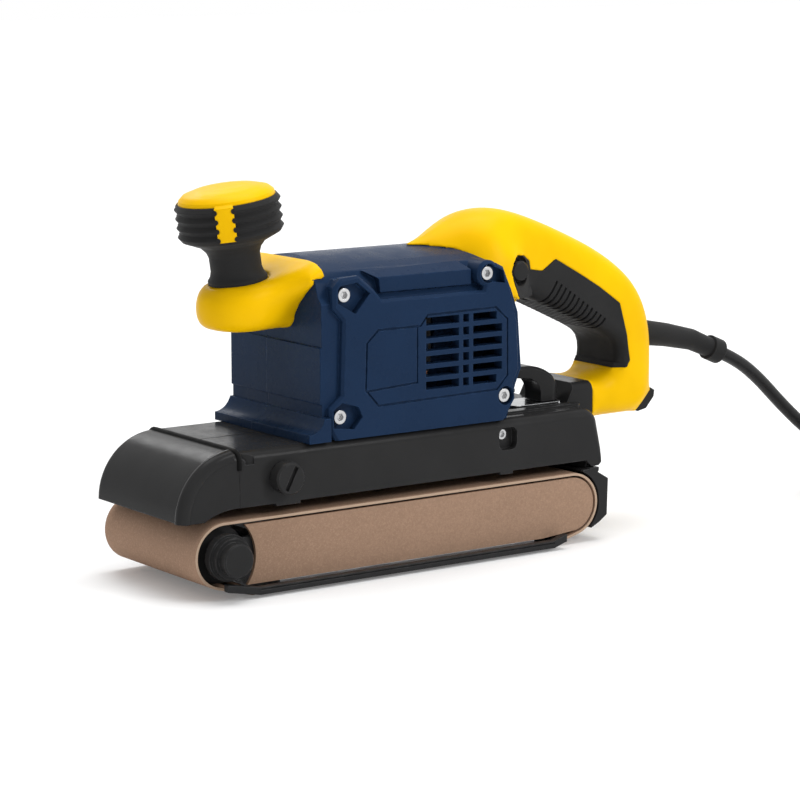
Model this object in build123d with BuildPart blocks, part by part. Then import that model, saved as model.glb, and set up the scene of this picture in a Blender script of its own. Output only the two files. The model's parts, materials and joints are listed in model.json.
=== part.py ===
from build123d import *
from math import acos, atan2, cos, degrees, hypot, pi, radians, sin, sqrt, tan
import os

os.makedirs("parts", exist_ok=True)

# Corded belt sander for 75 x 457 mm belts, in millimetres.
# +X points back to the handle, +Y to the user's right, the drive side, and +Z up.
# The origin lies on the sole, midway between the rollers and midway across the belt.

# Driving dimensions: sanding belt, rollers and platen
belt_width = 75.0
belt_thickness = 1.1
belt_radius = 14.3
axle_spacing = 184.7
platen_drop = 4.0
platen_length = 158.0
pad_thickness = 1.2
platen_thickness = 1.6
roller_inset = 5.3
axle_radius = 4.0
drum_shaft_radius = 5.0
running_gap = 0.3
bush_clearance = 0.05
bearing_clearance = 0.02

# Driving dimensions: belt housing
housing_half_width = 36.5
housing_wall = 2.5
deck_z = 61.0
skirt_z = 37.5
hood_overhang, seam_setback, rear_overhang = 19.65, 8.35, 19.15
seam_gap, seam_groove_depth = 0.15, 0.9
hood_bottom_z = 33.4
shoulder_radius = 4.5
riser_setback, riser_depth = 15.15, 12.0
riser_half_width, riser_top_z = 17.5, 69.5

# Driving dimensions: motor and motor housing
motor_x, motor_z = 6.0, 97.0
stator_radius, stator_bore = 28.7, 19.2
armature_radius = 18.6
shaft_radius = 3.5
body_front_x, body_near_y, body_far_y = -42.0, -34.0, 36.5
bezel_thickness = 3.2
body_wall = 2.5
parting_y = 8.0
crown_z = 136.8

# Driving dimensions: drive side
frame_gap, frame_thickness = 0.8, 4.0
pulley_gap, pulley_width = 2.7, 8.0
driven_pulley_radius, motor_pulley_radius = 12.0, 5.2
toothed_belt_thickness = 1.6
cover_gap, cover_wall = 2.5, 2.0

# Driving dimensions: front knob and nose
knob_x, knob_z, knob_lean = -61.1, 127.4, 8.5
nose_radius, nose_bottom_z = 18.5, 106.5

# Driving dimensions: rear handle
handle_half_width = 18.0
foot_length, handle_bottom_z = 40.5, 51.2
grip_skin = 3.4

# Driving dimensions: belt tension and tracking
lever_setback, lever_y = 5.15, -9.0
crank_radius = 6.0
release_travel = 5.2
tracking_x, tracking_z = -62.5, 48.5
tracking_radius = 2.5

# Driving dimensions: cord
cord_diameter = 6.4
coil_x, coil_y = 280.0, -70.0
coil_inner_radius, coil_pitch = 26.5, 7.0
lower_turns, upper_turns = 3.25, 3.5
tie_thickness = 1.0

# Places that follow from the driving dimensions
front_x, rear_x = -axle_spacing / 2, axle_spacing / 2
axle_z = platen_drop + belt_radius
belt_top = axle_z + belt_radius
belt_half = belt_width / 2
belt_inner = belt_radius - belt_thickness
platen_bottom = belt_thickness + pad_thickness
platen_top = platen_bottom + platen_thickness
platen_half = platen_length / 2
roller_half_width = belt_half - roller_inset
hood_front_x, seam_x = front_x - hood_overhang, front_x + seam_setback
housing_rear_x = rear_x + rear_overhang
riser_front_x = rear_x + riser_setback
riser_rear_x = riser_front_x + riser_depth
handle_rear_x = riser_rear_x + foot_length
lever_x = rear_x + lever_setback
deck_underside = deck_z - housing_wall
inner_half_width = housing_half_width - housing_wall
frame_y = belt_half + frame_gap
pulley_near = frame_y + frame_thickness + pulley_gap
pulley_far = pulley_near + pulley_width
cover_far_y = pulley_far + cover_gap
bezel_y = body_near_y - bezel_thickness
near_wall_y, far_wall_y = body_near_y + body_wall, body_far_y - body_wall


def bar(radius, y_low, y_high, x, z, mode=Mode.ADD):
    """Round bar along Y between two stations."""
    with Locations((x, (y_low + y_high) / 2, z)):
        Cylinder(radius, y_high - y_low, rotation=(90, 0, 0), mode=mode)


def post(radius, z_low, z_high, x, y, mode=Mode.ADD):
    """Round upright post between two heights."""
    with Locations((x, y, (z_low + z_high) / 2)):
        Cylinder(radius, z_high - z_low, mode=mode)


def block(x_span, y_span, z_span, mode=Mode.ADD):
    """Plain block between two stations on each axis."""
    spans = (x_span, y_span, z_span)
    with Locations(tuple((low + high) / 2 for low, high in spans)):
        Box(*(high - low for low, high in spans), mode=mode)


def across(y):
    """Sketch plane square to Y, with X to the right and Z up; its normal points to the near side."""
    return Plane.XZ.offset(-y)


def leave_point(axle_x, corner_x, radius, corner_z):
    """Where the belt leaves a roller on its way to the platen's corner."""
    dx, dz = corner_x - axle_x, corner_z - axle_z
    swing = acos(radius / hypot(dx, dz))
    turn = atan2(dz, dx) + (-swing if dx > 0 else swing)
    return axle_x + radius * cos(turn), axle_z + radius * sin(turn)


def trace_belt(inset):
    """Closed line of the belt's path, this far inside its outer face."""
    radius = belt_radius - inset
    top = axle_z + radius
    front_leave = leave_point(front_x, -platen_half, radius, inset)
    rear_leave = leave_point(rear_x, platen_half, radius, inset)
    Line((front_x, top), (rear_x, top))
    ThreePointArc((rear_x, top), (rear_x + radius, axle_z), rear_leave)
    Polyline(rear_leave, (platen_half, inset), (-platen_half, inset), front_leave)
    ThreePointArc(front_leave, (front_x - radius, axle_z), (front_x, top))


def trace_biarcs(points, headings):
    """Smooth line through the points, two tangent arcs to each span."""
    for start, end, leave, arrive in zip(points, points[1:], headings, headings[1:]):
        span, lean = end - start, leave + arrive
        square, along = lean.dot(lean) - 4, span.dot(lean)
        reach = (along - sqrt(along**2 - square * span.dot(span))) / square
        first, last = start + leave * reach, end - arrive * reach
        middle = (first + last) / 2
        TangentArc(start, middle, tangent=leave)
        TangentArc(middle, end, tangent=last - first)


# Sanding belt
with BuildPart() as sanding_belt:
    with BuildSketch(Plane.XZ):
        with BuildLine() as belt_line:
            trace_belt(0)
        make_face()
        with BuildLine():
            trace_belt(belt_thickness)
        make_face(mode=Mode.SUBTRACT)
    extrude(amount=belt_half, both=True)
sanding_belt.part.label = "sanding_belt"
export_step(sanding_belt.part, "parts/sanding_belt.step")
belt_length = sum(edge.length for edge in belt_line.edges()) - pi * belt_thickness
print("sanding belt length", round(belt_length, 1))

# Platen: a pressed plate under the belt frame, upturned at both ends, with a wide near edge
platen_margin, platen_inset = 3.5, 0.5
rail_y = -belt_half - platen_margin
platen_far_y = belt_half - platen_inset
upturn_length, upturn_rise = 4.5, 1.1
with BuildPart() as platen:
    with BuildSketch(across(platen_far_y)):
        with BuildLine():
            Polyline(
                (-platen_half - upturn_length, platen_bottom + upturn_rise),
                (-platen_half, platen_bottom),
                (platen_half, platen_bottom),
                (platen_half + upturn_length, platen_bottom + upturn_rise),
                (platen_half + upturn_length, platen_top + upturn_rise),
                (platen_half, platen_top),
                (-platen_half, platen_top),
                (-platen_half - upturn_length, platen_top + upturn_rise),
                close=True,
            )
        make_face()
    extrude(amount=platen_far_y - rail_y)
platen.part.label = "platen"
export_step(platen.part, "parts/platen.step")

# Graphite pad between platen and belt
pad_margin = 2.0
with BuildPart() as platen_pad:
    block(
        (-platen_half + pad_margin, platen_half - pad_margin),
        (-belt_half + 1, belt_half - 1),
        (belt_thickness, platen_bottom),
    )
platen_pad.part.label = "platen_pad"
export_step(platen_pad.part, "parts/platen_pad.step")

# Edge rail along the platen's near edge, kinked up at both ends, with a groove along its outer face
rail_thickness, rail_height, rail_bottom = 3.2, 3.2, 1.4
rail_front_x, rail_rear_x = -platen_half - 16, platen_half + 5
rail_front_rise, rail_rear_rise = 3.0, 2.2
rail_kink = platen_half - 2
with BuildPart() as edge_rail:
    with BuildSketch(across(rail_y)):
        with BuildLine():
            Polyline(
                (rail_front_x, rail_bottom + rail_front_rise),
                (-platen_half, rail_bottom),
                (rail_kink, rail_bottom),
                (rail_rear_x, rail_bottom + rail_rear_rise),
                (rail_rear_x, rail_bottom + rail_height + rail_rear_rise),
                (rail_kink, rail_bottom + rail_height),
                (-platen_half, rail_bottom + rail_height),
                (rail_front_x, rail_bottom + rail_height + rail_front_rise),
                close=True,
            )
        make_face()
    extrude(amount=rail_thickness)
    block(
        (-platen_half, rail_kink),
        (rail_y - rail_thickness, rail_y - rail_thickness + 0.7),
        (rail_bottom + 2.0, rail_bottom + 2.6),
        mode=Mode.SUBTRACT,
    )
edge_rail.part.label = "edge_rail"
export_step(edge_rail.part, "parts/edge_rail.step")

# Side plate behind the belt's near edge, hollowed round the front roller, with a boss for the drum's bearing
plate_inset, plate_sheet = 0.3, 1.6
plate_outer_y = -belt_half + plate_inset
plate_inner_y = plate_outer_y + plate_sheet
plate_gap = 1.0
plate_bottom = platen_top + 0.8
plate_top = belt_top - belt_thickness - plate_gap
plate_end_radius = belt_inner - plate_gap
near_bearing_radius, near_bearing_width = 7.0, 4.0
with BuildPart() as belt_side_plate:
    with BuildSketch(across(plate_inner_y)):
        with BuildLine():
            Line((front_x + 10.2, plate_top), (rear_x, plate_top))
            ThreePointArc(
                (rear_x, plate_top),
                (rear_x + plate_end_radius, axle_z),
                (rear_x, axle_z - plate_end_radius),
            )
            Polyline(
                (rear_x, axle_z - plate_end_radius),
                (platen_half - 3, plate_bottom),
                (front_x + 11.2, plate_bottom),
            )
            ThreePointArc(
                (front_x + 11.2, plate_bottom), (front_x + 15.4, axle_z), (front_x + 10.2, plate_top)
            )
        make_face()
    extrude(amount=plate_inner_y - plate_outer_y)
    bar(near_bearing_radius + 2.5, plate_inner_y, plate_inner_y + near_bearing_width, rear_x, axle_z)
    bar(near_bearing_radius, plate_inner_y, plate_inner_y + near_bearing_width, rear_x, axle_z, Mode.SUBTRACT)
belt_side_plate.part.label = "belt_side_plate"
export_step(belt_side_plate.part, "parts/belt_side_plate.step")

# Belt frame: a cast plate on the drive side, with a box that reaches through the belt to the side plate,
# a bearing boss for the drum and a blind guide for the tension slide
box_front_x, box_rear_x = -64.0, 72.0
box_top = belt_top - belt_thickness - 2.5
box_wall = 2.5
frame_front_x, frame_rear_x = -24.0, rear_x + 13.65
frame_low, frame_top = 8.0, 52.0
frame_outer_y = frame_y + frame_thickness
far_bearing_radius, far_bearing_width = 9.0, 5.0
boss_outer_y = frame_outer_y + 2.0
guide_y = frame_y + 5.2
guide_front_x, guide_rear_x, guide_end_x = -28.0, 24.0, 21.0
guide_half_y, guide_half_z, guide_wall = 3.0, 6.0, 2.0
pad_low = 41.0
# Places of the drive cover's run and of its screw ears, on the motor housing and on the belt frame
cover_motor_radius, cover_drum_radius = 14.0, 17.4
cover_run = Vector(rear_x - motor_x, axle_z - motor_z).normalized()
cover_side = Vector(-cover_run.Y, cover_run.X)
cover_length = hypot(rear_x - motor_x, axle_z - motor_z)
ear_radius, ear_height, ear_stand = 4.5, 4.0, 3.4
cover_screw_radius, cover_screw_reach = 1.6, 2.4


def ear_place(along, side):
    """Place of a screw ear beside the cover, this far along its run."""
    reach = cover_motor_radius + (cover_drum_radius - cover_motor_radius) * along / cover_length + ear_stand
    return Vector(motor_x, motor_z) + cover_run * along + cover_side * (side * reach)


cover_ears = (
    (ear_place(35, 1), body_far_y),
    (ear_place(20, -1), body_far_y),
    (ear_place(88, -1), frame_outer_y),
    (ear_place(93, 1), frame_outer_y),
)
cover_holes = [(ear.X, ear.Y) for ear, seat_y in cover_ears if seat_y == body_far_y]

with BuildPart() as belt_frame:
    with BuildSketch(across(frame_outer_y)):
        with BuildLine():
            Polyline((frame_front_x, frame_low), (frame_front_x, frame_top), (frame_rear_x - 14, frame_top))
            Line((frame_rear_x - 14, frame_top), (rear_x + 13, axle_z + 8))
            ThreePointArc(
                (rear_x + 13, axle_z + 8), (rear_x + 12, axle_z - 8), (rear_x, axle_z - 13)
            )
            Polyline((rear_x, axle_z - 13), (60, frame_low), (frame_front_x, frame_low))
        make_face()
    extrude(amount=frame_thickness)
    block((frame_front_x + 6, frame_rear_x - 14), (housing_half_width, frame_y), (pad_low, frame_top))
    block((box_front_x, box_rear_x), (plate_inner_y, frame_y), (platen_top, box_top))
    block(
        (box_front_x + box_wall, box_rear_x - box_wall),
        (plate_inner_y, frame_y - box_wall),
        (platen_top + box_wall, box_top - box_wall),
        mode=Mode.SUBTRACT,
    )
    block(
        (guide_front_x, guide_rear_x),
        (frame_y, guide_y + guide_half_y + guide_wall),
        (axle_z - guide_half_z - guide_wall, axle_z + guide_half_z + guide_wall),
    )
    block(
        (guide_front_x, guide_end_x),
        (guide_y - guide_half_y, guide_y + guide_half_y),
        (axle_z - guide_half_z, axle_z + guide_half_z),
        mode=Mode.SUBTRACT,
    )
    bar(far_bearing_radius + 3, frame_y, boss_outer_y, rear_x, axle_z)
    bar(far_bearing_radius, boss_outer_y - far_bearing_width, boss_outer_y, rear_x, axle_z, Mode.SUBTRACT)
    bar(drum_shaft_radius + 1, frame_y - 1, boss_outer_y, rear_x, axle_z, Mode.SUBTRACT)
    for ear, seat_y in cover_ears:
        if seat_y == frame_outer_y:
            bar(cover_screw_radius, frame_y, frame_outer_y, ear.X, ear.Y, Mode.SUBTRACT)
belt_frame.part.label = "belt_frame"
export_step(belt_frame.part, "parts/belt_frame.step")

# Tension slide: a tongue in the frame's guide, a clevis for the carrier's pivot and a bar to the pull rod
pivot_x, pivot_radius = -45.0, 2.5
barrel_radius, barrel_half = 5.0, 4.5
ear_thickness = 3.0
ear_half = 4.5
ear_offset = barrel_half + running_gap
web_front_x, web_rear_x = -38.5, -34.0
tongue_rear_x = -4.0
rod_y, rod_z, rod_radius = lever_y - crank_radius, 43.6, 1.6
cross_low, cross_high = rod_z - 2.6, rod_z + 2.6
with BuildPart() as tension_slide:
    block(
        (web_front_x, tongue_rear_x),
        (guide_y - guide_half_y + running_gap, guide_y + guide_half_y - running_gap),
        (axle_z - guide_half_z + running_gap, axle_z + guide_half_z - running_gap),
    )
    block(
        (web_front_x, web_rear_x),
        (guide_y - ear_half, guide_y + ear_half),
        (axle_z - ear_offset - ear_thickness, cross_high),
    )
    for ear_low in (axle_z - ear_offset - ear_thickness, axle_z + ear_offset):
        ear_span = (ear_low, ear_low + ear_thickness)
        block((pivot_x, web_rear_x), (guide_y - ear_half, guide_y + ear_half), ear_span)
        post(ear_half, ear_low, ear_low + ear_thickness, pivot_x, guide_y)
    block((web_front_x, web_rear_x), (rod_y - 3, guide_y), (cross_low, cross_high))
    post(pivot_radius, 0, axle_z + 2 * ear_offset, pivot_x, guide_y, Mode.SUBTRACT)
    with Locations((web_front_x, rod_y, rod_z)):
        Cylinder(rod_radius, 20, rotation=(0, 90, 0), mode=Mode.SUBTRACT)
tension_slide.part.label = "tension_slide"
export_step(tension_slide.part, "parts/tension_slide.step")

# Pivot pin of the axle carrier
pin_half = ear_offset + ear_thickness
with BuildPart() as pivot_pin:
    post(pivot_radius, axle_z - pin_half, axle_z + pin_half, pivot_x, guide_y)
pivot_pin.part.label = "pivot_pin"
export_step(pivot_pin.part, "parts/pivot_pin.step")

# Tension spring between the slide's tongue and the blind end of its guide
spring_radius, spring_wire, spring_turns, spring_sides = 2.2, 0.9, 4, 4
spring_gap = 0.2
spring_front = tongue_rear_x + spring_gap + spring_wire / 2
spring_rise = (guide_end_x - spring_gap - spring_wire / 2 - spring_front) / (2 * pi * spring_turns)
spring_angles = [pi * step for step in range(2 * spring_turns + 1)]
spring_points = [
    Vector(spring_front + spring_rise * a, guide_y + spring_radius * cos(a), axle_z + spring_radius * sin(a))
    for a in spring_angles
]
spring_headings = [
    Vector(spring_rise, -spring_radius * sin(a), spring_radius * cos(a)).normalized() for a in spring_angles
]
with BuildPart() as tension_spring:
    with BuildLine():
        trace_biarcs(spring_points, spring_headings)
    with BuildSketch(Plane(origin=spring_points[0], z_dir=spring_headings[0])):
        RegularPolygon(spring_wire / 2, spring_sides)
    sweep()
tension_spring.part.label = "tension_spring"
export_step(tension_spring.part, "parts/tension_spring.step")

# Pull rod from the slide to the lever's crank, with a cross slot for the crank pin
crank_pin_radius = 1.6
slot_half = crank_pin_radius + 0.7
eye_low, eye_high = rod_z - 1.2, rod_z + 1.2
eye_front_x, eye_rear_x = lever_x - 8, lever_x + slot_half + 1.3
slot_far_y = rod_y + crank_radius / 2 + slot_half
with BuildPart() as pull_rod:
    with Locations(((web_front_x + eye_front_x + 2) / 2, rod_y, rod_z)):
        Cylinder(rod_radius, eye_front_x + 2 - web_front_x, rotation=(0, 90, 0))
    block((eye_front_x, eye_rear_x), (rod_y - slot_half - 1.6, slot_far_y + 1.6), (eye_low, eye_high))
    block(
        (lever_x - slot_half, lever_x + slot_half),
        (rod_y - slot_half, slot_far_y),
        (eye_low, eye_high),
        mode=Mode.SUBTRACT,
    )
pull_rod.part.label = "pull_rod"
export_step(pull_rod.part, "parts/pull_rod.step")

# Axle carrier: two arms for the front axle, a cross bar inside the belt, and an outrigger to the pivot
# with a tail that the tracking screw pushes on
arm_near_y = (-roller_half_width - 3.0, -roller_half_width - 0.5)
arm_far_y = (roller_half_width + 0.5, roller_half_width + 3.0)
arm_half = 6.5
cross_front_x, cross_rear_x = front_x + belt_inner + 1.5, front_x + belt_inner + 7.5
outrigger_y = (guide_y - 2.5, guide_y + 2.5)
barrel_span = (axle_z - barrel_half, axle_z + barrel_half)
tail_half = 4.5
tail_top = tracking_z + tracking_radius + 1.5
tip_gap = 0.3
with BuildPart() as axle_carrier:
    for arm_y in (arm_near_y, arm_far_y):
        block((front_x, cross_rear_x), arm_y, (axle_z - arm_half, axle_z + arm_half))
        bar(arm_half, *arm_y, front_x, axle_z)
        bar(axle_radius, *arm_y, front_x, axle_z, Mode.SUBTRACT)
    block(
        (cross_front_x, cross_rear_x),
        (arm_near_y[0], outrigger_y[1]),
        (axle_z - arm_half, axle_z + arm_half),
    )
    block((cross_front_x, pivot_x), outrigger_y, barrel_span)
    block(
        (tracking_x - tail_half, tracking_x + tail_half),
        (outrigger_y[0], outrigger_y[0] + 3),
        (axle_z - barrel_half, tail_top),
    )
    post(barrel_radius, *barrel_span, pivot_x, guide_y)
    post(pivot_radius + bush_clearance, *barrel_span, pivot_x, guide_y, Mode.SUBTRACT)
axle_carrier.part.label = "axle_carrier"
export_step(axle_carrier.part, "parts/axle_carrier.step")

# Front roller with its bushes, axle and the stepped hub on the axle's near end
roller_radius = belt_inner - 0.75
bush_radius, bush_length = 6.0, 8.0
with BuildPart() as front_roller:
    bar(roller_radius, -roller_half_width, roller_half_width, front_x, axle_z)
    bar(bush_radius, -roller_half_width, roller_half_width, front_x, axle_z, Mode.SUBTRACT)
front_roller.part.label = "front_roller"
export_step(front_roller.part, "parts/front_roller.step")

with BuildPart() as roller_bushes:
    for bush_y in (-roller_half_width, roller_half_width - bush_length):
        bar(bush_radius, bush_y, bush_y + bush_length, front_x, axle_z)
    bar(axle_radius + bush_clearance, -roller_half_width, roller_half_width, front_x, axle_z, Mode.SUBTRACT)
roller_bushes.part.label = "roller_bushes"
export_step(roller_bushes.part, "parts/roller_bushes.step")

axle_near_y, axle_far_y = plate_outer_y - 8.8, arm_far_y[1] + 1.3
hub_inner_y = plate_outer_y - 0.5
hub_steps = ((10.0, 3.8), (8.8, 3.0), (7.2, 4.5))
with BuildPart() as front_axle:
    bar(axle_radius, axle_near_y, axle_far_y, front_x, axle_z)
front_axle.part.label = "front_axle"
export_step(front_axle.part, "parts/front_axle.step")

with BuildPart() as axle_hub:
    step_y = hub_inner_y
    for step_radius, step_length in hub_steps:
        bar(step_radius, step_y - step_length, step_y, front_x, axle_z)
        step_y -= step_length
    bar(axle_radius, axle_near_y, hub_inner_y, front_x, axle_z, Mode.SUBTRACT)
    bar(axle_radius + 1.5, hub_inner_y, arm_near_y[0], front_x, axle_z)
    bar(axle_radius, hub_inner_y, arm_near_y[0], front_x, axle_z, Mode.SUBTRACT)
    chamfer(axle_hub.faces().sort_by(Axis.Y)[0].edges(), 0.6)
axle_hub.part.label = "axle_hub"
export_step(axle_hub.part, "parts/axle_hub.step")

# Drive drum with its rubber sleeve, shaft and bearings
drum_near_y, drum_far_y = plate_inner_y + near_bearing_width + 0.6, platen_far_y - 1
drum_radius = belt_inner - 2.2
sleeve_radius = belt_inner - running_gap
shaft_step_y = boss_outer_y
with BuildPart() as drive_drum:
    bar(drum_radius, drum_near_y, drum_far_y, rear_x, axle_z)
    bar(drum_shaft_radius, drum_near_y, drum_far_y, rear_x, axle_z, Mode.SUBTRACT)
drive_drum.part.label = "drive_drum"
export_step(drive_drum.part, "parts/drive_drum.step")

with BuildPart() as drum_sleeve:
    bar(sleeve_radius, drum_near_y + 0.5, drum_far_y - 0.5, rear_x, axle_z)
    bar(drum_radius, drum_near_y, drum_far_y, rear_x, axle_z, Mode.SUBTRACT)
drum_sleeve.part.label = "drum_sleeve"
export_step(drum_sleeve.part, "parts/drum_sleeve.step")

journal_radius = 4.0
near_bearing_span = (plate_inner_y + 0.1, plate_inner_y + near_bearing_width)
far_bearing_span = (boss_outer_y - far_bearing_width, boss_outer_y)
with BuildPart() as drive_shaft:
    bar(journal_radius, plate_inner_y + 0.2, pulley_far, rear_x, axle_z)
    bar(drum_shaft_radius, drum_near_y - 0.3, shaft_step_y, rear_x, axle_z)
drive_shaft.part.label = "drive_shaft"
export_step(drive_shaft.part, "parts/drive_shaft.step")

with BuildPart() as drum_bearings:
    bar(near_bearing_radius, *near_bearing_span, rear_x, axle_z)
    bar(journal_radius + bearing_clearance, *near_bearing_span, rear_x, axle_z, Mode.SUBTRACT)
    bar(far_bearing_radius, *far_bearing_span, rear_x, axle_z)
    bar(drum_shaft_radius + bearing_clearance, *far_bearing_span, rear_x, axle_z, Mode.SUBTRACT)
drum_bearings.part.label = "drum_bearings"
export_step(drum_bearings.part, "parts/drum_bearings.step")

# Toothed belt drive from the motor to the drum
belt_seat = 0.3
toothed_belt_near, toothed_belt_far = pulley_near + 0.8, pulley_far - 0.8
with BuildPart() as driven_pulley:
    bar(driven_pulley_radius, pulley_near, pulley_far, rear_x, axle_z)
    bar(journal_radius, pulley_near, pulley_far, rear_x, axle_z, Mode.SUBTRACT)
driven_pulley.part.label = "driven_pulley"
export_step(driven_pulley.part, "parts/driven_pulley.step")

with BuildPart() as motor_pulley:
    bar(motor_pulley_radius, pulley_near, pulley_far, motor_x, motor_z)
    bar(shaft_radius, pulley_near, pulley_far, motor_x, motor_z, Mode.SUBTRACT)
motor_pulley.part.label = "motor_pulley"
export_step(motor_pulley.part, "parts/motor_pulley.step")

with BuildPart() as toothed_belt:
    for grow, mode in ((belt_seat + toothed_belt_thickness, Mode.ADD), (belt_seat, Mode.SUBTRACT)):
        with BuildSketch(across(toothed_belt_far)):
            with Locations((motor_x, motor_z)):
                Circle(motor_pulley_radius + grow)
            with Locations((rear_x, axle_z)):
                Circle(driven_pulley_radius + grow)
            make_hull()
        extrude(amount=toothed_belt_far - toothed_belt_near, mode=mode)
toothed_belt.part.label = "toothed_belt"
export_step(toothed_belt.part, "parts/toothed_belt.step")

# Base housing: the hollow deck over the belt, with rounded shoulders, a stepped rear wall and the riser
# that carries the handle's foot
rear_step_z, rear_lip_x = 41.3, housing_rear_x - 1.5
lip_bottom_z = 34.5
screw_notch_x, screw_notch_z = 54.5, 54.0
notch_depth, mould_line_end = 4.0, -50.0
slope_x, slope_round = housing_rear_x - 11.0, 8.2
slope_drop = deck_z - slope_round - rear_step_z
slope_reach = hypot(housing_rear_x - slope_x, slope_drop)
slope_turn = acos(slope_round / slope_reach) - atan2(slope_drop, housing_rear_x - slope_x)
slope_end = (
    slope_x + slope_round * cos(slope_turn),
    deck_z - slope_round + slope_round * sin(slope_turn),
)
with BuildPart() as base_housing:
    with BuildSketch(across(housing_half_width)):
        with BuildLine():
            Polyline((seam_x, skirt_z), (seam_x, deck_z), (slope_x, deck_z))
            TangentArc((slope_x, deck_z), slope_end, tangent=(1, 0))
            Polyline(
                slope_end,
                (housing_rear_x, rear_step_z),
                (rear_lip_x, rear_step_z),
                (rear_lip_x, lip_bottom_z + 1.5),
                (rear_lip_x - 2, lip_bottom_z),
                (rear_lip_x - 6, lip_bottom_z),
                (rear_lip_x - 9, skirt_z),
                (seam_x, skirt_z),
            )
        make_face()
    extrude(amount=2 * housing_half_width)
    deck_edges = base_housing.edges().filter_by(Axis.X).group_by(Axis.Z)[-1]
    fillet(deck_edges, shoulder_radius)
    # Hollow for the belt's upper run and the mechanism
    with BuildSketch(across(inner_half_width)):
        Polygon(
            (seam_x - 1, lip_bottom_z - 1),
            (seam_x - 1, deck_underside),
            (slope_x - 0.5, deck_underside),
            (slope_x + 4.4, slope_end[1] + 1.5),
            (rear_lip_x - housing_wall, 46.5),
            (rear_lip_x - housing_wall, lip_bottom_z - 1),
            align=None,
        )
    extrude(amount=2 * inner_half_width, mode=Mode.SUBTRACT)
    # Boss behind the skirt screw
    block(
        (screw_notch_x - 6, screw_notch_x + 9.5),
        (-inner_half_width - 0.5, -inner_half_width + 4),
        (screw_notch_z - 7.5, deck_underside + 0.5),
    )
    # Riser
    with BuildSketch(across(riser_half_width)):
        with BuildLine():
            Polyline(
                (riser_front_x - 4.5, deck_z - 3),
                (riser_front_x + 1.5, riser_top_z),
                (riser_rear_x, riser_top_z),
                (riser_rear_x, handle_bottom_z),
                (riser_front_x + 0.7, handle_bottom_z),
                close=True,
            )
        make_face()
    extrude(amount=2 * riser_half_width)
    riser_edges = base_housing.edges().filter_by(Axis.X).group_by(Axis.Z)[-1]
    fillet(riser_edges, 4)
    # Ridges on the deck behind the motor housing
    for ridge_y in (-24.0, 24.0):
        with BuildSketch(Plane.XY.offset(deck_z - 0.5)):
            with Locations((slope_x - 16.5, ridge_y)):
                SlotOverall(44, 5)
        extrude(amount=1.5)
    # Notch with a seat for the skirt screw, and the tracking screw's bores
    with BuildSketch(across(-housing_half_width)):
        with Locations((screw_notch_x + 1.8, screw_notch_z - 1.8)):
            RectangleRounded(10, 10, 3)
    extrude(amount=-notch_depth, mode=Mode.SUBTRACT)
    bar(1.6, -housing_half_width, -inner_half_width + 5, screw_notch_x, screw_notch_z, Mode.SUBTRACT)
    # Groove along the seam, which turns back over the near shoulder
    groove_end = inner_half_width - 0.5
    groove_z = (deck_z - seam_groove_depth, deck_z + 1)
    block((seam_x - 1, seam_x + 0.5), (-groove_end, groove_end), groove_z, mode=Mode.SUBTRACT)
    with BuildSketch(Plane.XY.offset(deck_z - shoulder_radius - 1)):
        Polygon(
            (seam_x - 1, -inner_half_width - 0.2),
            (seam_x + 0.7, -inner_half_width - 0.2),
            (seam_x + 2.4, -inner_half_width - 1.0),
            (seam_x + 7, -housing_half_width + 0.7),
            (seam_x + 7, -housing_half_width - 1),
            (seam_x + 2, -housing_half_width + 0.3),
            (seam_x - 1, -inner_half_width - 1.4),
            align=None,
        )
    extrude(amount=shoulder_radius + 2, mode=Mode.SUBTRACT)
    # Mould line along the deck in front of the motor housing
    block((seam_x - 1, mould_line_end), (-0.3, 0.3), (deck_z - 0.5, deck_z + 1), mode=Mode.SUBTRACT)
    track_bore = tracking_radius + bush_clearance
    bar(track_bore, -housing_half_width, housing_half_width, tracking_x, tracking_z, Mode.SUBTRACT)
    # Lever bore in the deck, and the window in the far wall for the tension slide's cross bar
    post(3 + bush_clearance, deck_underside - 2, deck_z, lever_x, lever_y, Mode.SUBTRACT)
    block(
        (web_front_x - 1, web_rear_x + release_travel + 1),
        (inner_half_width - 1, housing_half_width + 1),
        (lip_bottom_z, cross_high + 1),
        mode=Mode.SUBTRACT,
    )
    # Clips on the skirt's lower edge
    for clip_front, clip_rear in ((-66, -54), (52, 59)):
        for clip_y in (-housing_half_width, inner_half_width):
            block((clip_front, clip_rear), (clip_y, clip_y + housing_wall), (skirt_z - 1.2, skirt_z + 1))
base_housing.part.label = "base_housing"
export_step(base_housing.part, "parts/base_housing.step")

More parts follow.
